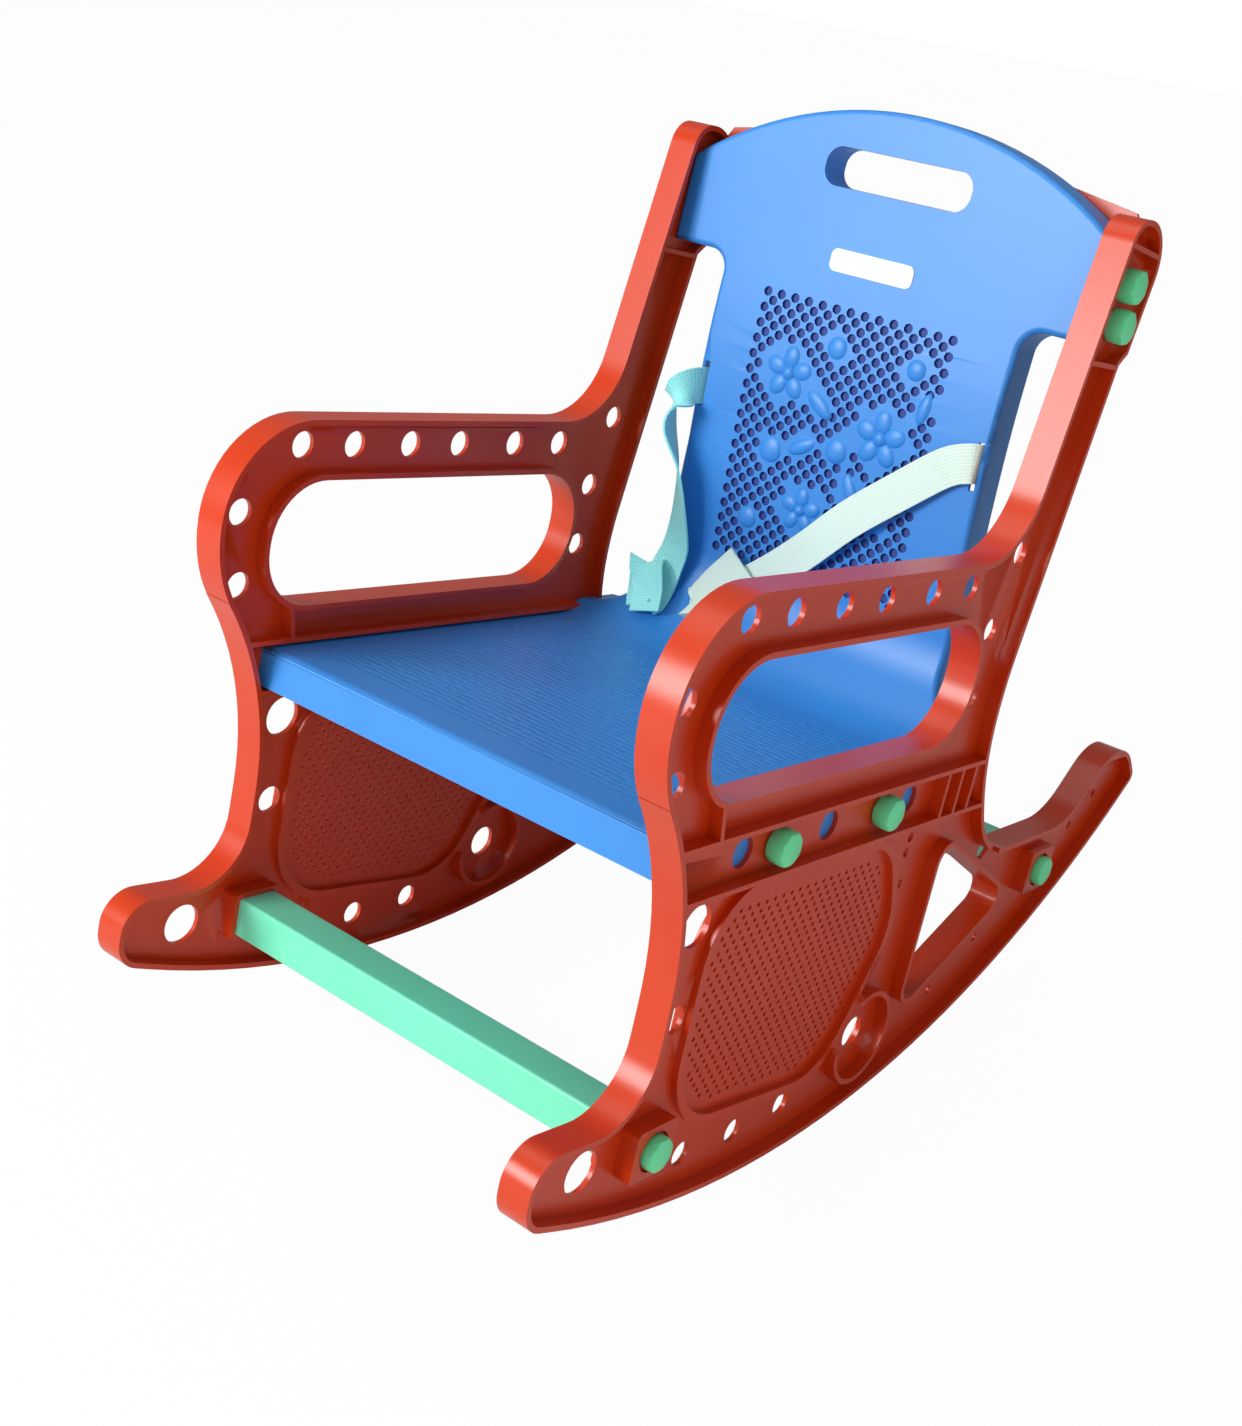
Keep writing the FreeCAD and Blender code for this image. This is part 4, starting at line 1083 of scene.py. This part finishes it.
@dataclass
class Straps:
    """The two halves of the lap belt, laid along their listed routes.

    Args:
        width: Width of the webbing, in millimetres.
        thickness: Thickness of the webbing, in millimetres.
        slot_x: Distance of the belt slots from the middle, in millimetres.
        slot_z: Height of the slots, in millimetres.
        bend: Setback, height and radius of the round between back and seat.
        foot: Setback of the back's front at the height of the seat, in millimetres.
        seat_top: Height of the seat, in millimetres.
        lean: How far the back leans forward for each millimetre up.
        columns: Faces across a strap.
        spacing: Length of a face along a strap, in millimetres.
    """

    width: float = 25.0
    thickness: float = 1.4
    slot_x: float = 108.0
    slot_z: float = 405.0
    bend: tuple[float, float, float] = (129.38, 288.0, 60.0)
    foot: float = 194.0
    seat_top: float = 228.0
    lean: float = 15.0 / 202.0
    columns: int = 6
    spacing: float = 4.0

    def build(self, left: Webbing, right: Webbing) -> None:
        """Make both straps.

        Args:
            left: Webbing of the strap at the sitter's left.
            right: Webbing of the other strap.
        """
        belts = (
            ("left_belt", self.left_route(), left),
            ("right_belt", self.right_route(), right),
        )
        for name, route, finish in belts:
            piece, length = self.strap(name.replace("belt", "strap"), route)
            dress(piece, finish.build(self.width * MM, length))
            smooth(piece, 60.0)
            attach(piece, "root")
            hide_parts(name)
            LOG.info("%s: %.3f m long", piece.name, length)

    def on_back(self, x: float, z: float, lift: float) -> tuple:
        """Place a section of a strap in front of the back.

        Args:
            x: Place across, in millimetres.
            z: Height, in millimetres.
            lift: Distance from the back, in millimetres.

        Returns:
            Its centre, and the direction across the strap.
        """
        centre_y, centre_z, radius = self.bend
        if z > centre_z:
            y = self.foot - self.lean * (z - self.seat_top) - lift
            return (x, y, z), (0.0, -self.lean, 1.0)
        drop = centre_z - z
        reach = math.sqrt(radius ** 2 - drop ** 2)
        return (x, centre_y + reach - lift, z), (0.0, drop / reach, 1.0)

    def in_bend(self, x: float, angle: float, lift: float, across: tuple) -> tuple:
        """Place a section of a strap over the round below the back.

        Args:
            x: Place across, in millimetres.
            angle: Angle round the bend, down from the level, in degrees.
            lift: Distance from the round, in millimetres.
            across: Direction across the strap.

        Returns:
            Its centre, and the direction across the strap.
        """
        centre_y, centre_z, radius = self.bend
        turn = math.radians(angle)
        reach = radius - lift
        return (x, centre_y + reach * math.cos(turn), centre_z - reach * math.sin(turn)), across

    def left_route(self) -> list[tuple]:
        """Lead from the slot at the sitter's left across the back to a fold.

        Returns:
            The sections, each a centre and a direction across.
        """
        x, z, up = self.slot_x, self.slot_z, (0.0, 0.0, 1.0)
        return [
            (self.on_back(x, z + 2.0, -13.5)[0], up),
            (self.on_back(x, z + 2.0, 0.5)[0], up),
            (self.on_back(x - 3.2, z + 1.8, 3.6)[0], up),
            self.on_back(x - 19.0, z - 5.0, 5.0),
            self.on_back(x - 47.0, z - 29.0, 7.0),
            self.on_back(x - 77.0, z - 56.0, 8.0),
            self.on_back(x - 107.0, z - 88.0, 7.0),
            self.on_back(x - 137.0, z - 116.0, 5.0),
            self.on_back(x - 162.0, z - 135.0, 4.0),
            self.on_back(x - 176.0, z - 146.0, 4.0),
            self.on_back(x - 181.0, z - 149.0, 6.6),
            self.on_back(x - 176.0, z - 141.0, 9.0),
            self.on_back(x - 163.0, z - 124.0, 11.0),
            self.on_back(x - 151.0, z - 109.0, 10.5),
        ]

    def right_route(self) -> list[tuple]:
        """Lead from the other slot down the gap, twisted, to a crumpled end in the bend.

        Returns:
            The sections, each a centre and a direction across.
        """
        x, z, up = -self.slot_x, self.slot_z, (0.0, 0.0, 1.0)
        return [
            (self.on_back(x, z - 2.0, -13.5)[0], up),
            (self.on_back(x, z - 2.0, 0.5)[0], up),
            (self.on_back(x - 3.0, z - 4.0, 9.0)[0], up),
            (self.on_back(x - 8.0, z - 13.0, 16.0)[0], (-0.1, 0.3, 1.0)),
            (self.on_back(x - 9.0, z - 33.0, 17.0)[0], (-0.4, 1.0, 0.4)),
            (self.on_back(x + 2.0, z - 60.0, 14.0)[0], (-0.6, 0.8, 0.0)),
            (self.on_back(x + 8.0, z - 90.0, 12.0)[0], (-0.9, 0.6, 0.0)),
            (self.on_back(x + 9.0, z - 114.0, 10.0)[0], (-1.0, 0.2, 0.0)),
            self.in_bend(x + 6.0, 14.0, 9.0, (-1.0, 0.0, 0.0)),
            self.in_bend(x + 4.0, 30.0, 4.0, (-1.0, 0.0, 0.0)),
            self.in_bend(x + 3.0, 44.0, 1.2, (-1.0, 0.0, 0.0)),
            self.in_bend(x + 1.0, 49.0, 3.6, (-1.0, 0.1, 0.1)),
            self.in_bend(x - 3.0, 42.0, 6.0, (-1.0, 0.1, 0.3)),
            self.in_bend(x - 8.0, 24.0, 12.5, (-1.0, 0.1, 0.3)),
            self.in_bend(x - 8.0, 18.0, 15.5, (-1.0, 0.0, 0.1)),
            self.in_bend(x - 3.0, 24.0, 18.0, (-1.0, 0.0, -0.1)),
            self.in_bend(x + 4.0, 42.0, 12.5, (-1.0, 0.0, -0.3)),
            self.in_bend(x + 8.0, 56.0, 7.0, (-1.0, 0.0, -0.3)),
        ]

    def strap(self, name: str, route: list[tuple]) -> tuple[bpy.types.Object, float]:
        """Lay a flat strap along a route.

        Args:
            name: Name of the piece.
            route: Sections in the drawing frame, as centre and direction across.

        Returns:
            The piece and its flat length in metres.
        """
        centres, acrosses = self.eased(route)
        length = sum((b - a).length for a, b in zip(centres, centres[1:])) * MM
        rows = len(centres)
        bpy.ops.mesh.primitive_grid_add(
            x_subdivisions=self.columns, y_subdivisions=rows - 1, size=1.0, location=(0, 0, 0))
        piece = bpy.context.object
        piece.name = name
        for vertex in piece.data.vertices:
            row = round((vertex.co.y + 0.5) * (rows - 1))
            before = centres[max(row - 1, 0)]
            after = centres[min(row + 1, rows - 1)]
            along = (after - before).normalized()
            across = acrosses[row] - along * acrosses[row].dot(along)
            point = centres[row] + across.normalized() * (vertex.co.x * self.width)
            vertex.co = ROLL.place(*point)
        solid = piece.modifiers.new("thickness", "SOLIDIFY")
        solid.thickness = self.thickness * MM
        solid.offset = 0.0
        apply_modifiers(piece)
        return piece, length

    def eased(self, route: list[tuple]) -> tuple[list[Vector], list[Vector]]:
        """Run smoothly through the sections of a route.

        Args:
            route: Sections, each a centre and a direction across.

        Returns:
            The centres and the directions across of many more sections.
        """
        centres = [Vector(centre) for centre, _ in route]
        acrosses = [Vector(across).normalized() for _, across in route]
        fine_centres = []
        fine_acrosses = []
        for index in range(len(route) - 1):
            p0 = centres[max(index - 1, 0)]
            p1, p2 = centres[index], centres[index + 1]
            p3 = centres[min(index + 2, len(route) - 1)]
            steps = max(2, int((p2 - p1).length / self.spacing))
            for step in range(steps):
                t = step / steps
                bend = (2 * p1 + (p2 - p0) * t + (2 * p0 - 5 * p1 + 4 * p2 - p3) * t ** 2
                        + (3 * p1 - p0 - 3 * p2 + p3) * t ** 3) / 2
                fine_centres.append(bend)
                fine_acrosses.append(acrosses[index].lerp(acrosses[index + 1], t))
        return fine_centres + [centres[-1]], fine_acrosses + [acrosses[-1]]


# side frames: glossy orange-red
RED_PLASTIC = MouldedPlastic("red_polypropylene", "CC3206", "D4400A", roughness=0.3)
# shell: bright blue, a little duller, with the seat's embossing
BLUE_PLASTIC = SeatedPlastic("blue_polyethylene", "2E86DA", "3A90E0", drift=90.0, roughness=0.4)
# inside of the lattice's pits: painted shade, a dark navy that stands in for the shadow the blue
# lies in
PIT_SHADE_PAINT = MouldedPlastic("navy_painted_pit_shade", "1A3A8C", "20459A", roughness=0.6)
# crossbars
MINT_PLASTIC = MouldedPlastic("mint_polypropylene", "7CF0C8", "70E6B4")
# caps
GREEN_PLASTIC = MouldedPlastic("green_polypropylene", "6CF4A8", "78FAB4", drift=20.0)
# bare plate
WHITE_PLASTIC = MouldedPlastic("white_polystyrene", "FBFBFB", "F4F6F6", drift=30.0)
# hidden nuts
ZINC = MouldedPlastic("zinc_plated_steel", "B8BABD", "A8AAAE", roughness=0.4)
# the two halves of the lap belt
PALE_WEBBING = Webbing("pale_mint_webbing", "F2FFF6", "DCF8E6")
CYAN_WEBBING = Webbing("cyan_mint_webbing", "C4FFF8", "8CF2EE")


def main() -> None:
    """Build and dress the chair."""
    logging.basicConfig(level=logging.INFO, format="%(name)s: %(message)s")
    bpy.ops.object.select_all(action="DESELECT")
    Studio().build()
    mint = MINT_PLASTIC.build()
    zinc = ZINC.build()
    for name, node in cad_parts.items():
        if name.endswith("crossbar"):
            dress(node, mint)
        elif name.endswith("nut"):
            dress(node, zinc)
    SideFrames().build(RED_PLASTIC.build())
    Shell().build(BLUE_PLASTIC.build(), PIT_SHADE_PAINT.build(), WHITE_PLASTIC.build())
    Caps().build(GREEN_PLASTIC.build())
    Straps().build(PALE_WEBBING, CYAN_WEBBING)
    bpy.context.view_layer.update()


if __name__ == "__main__":
    main()
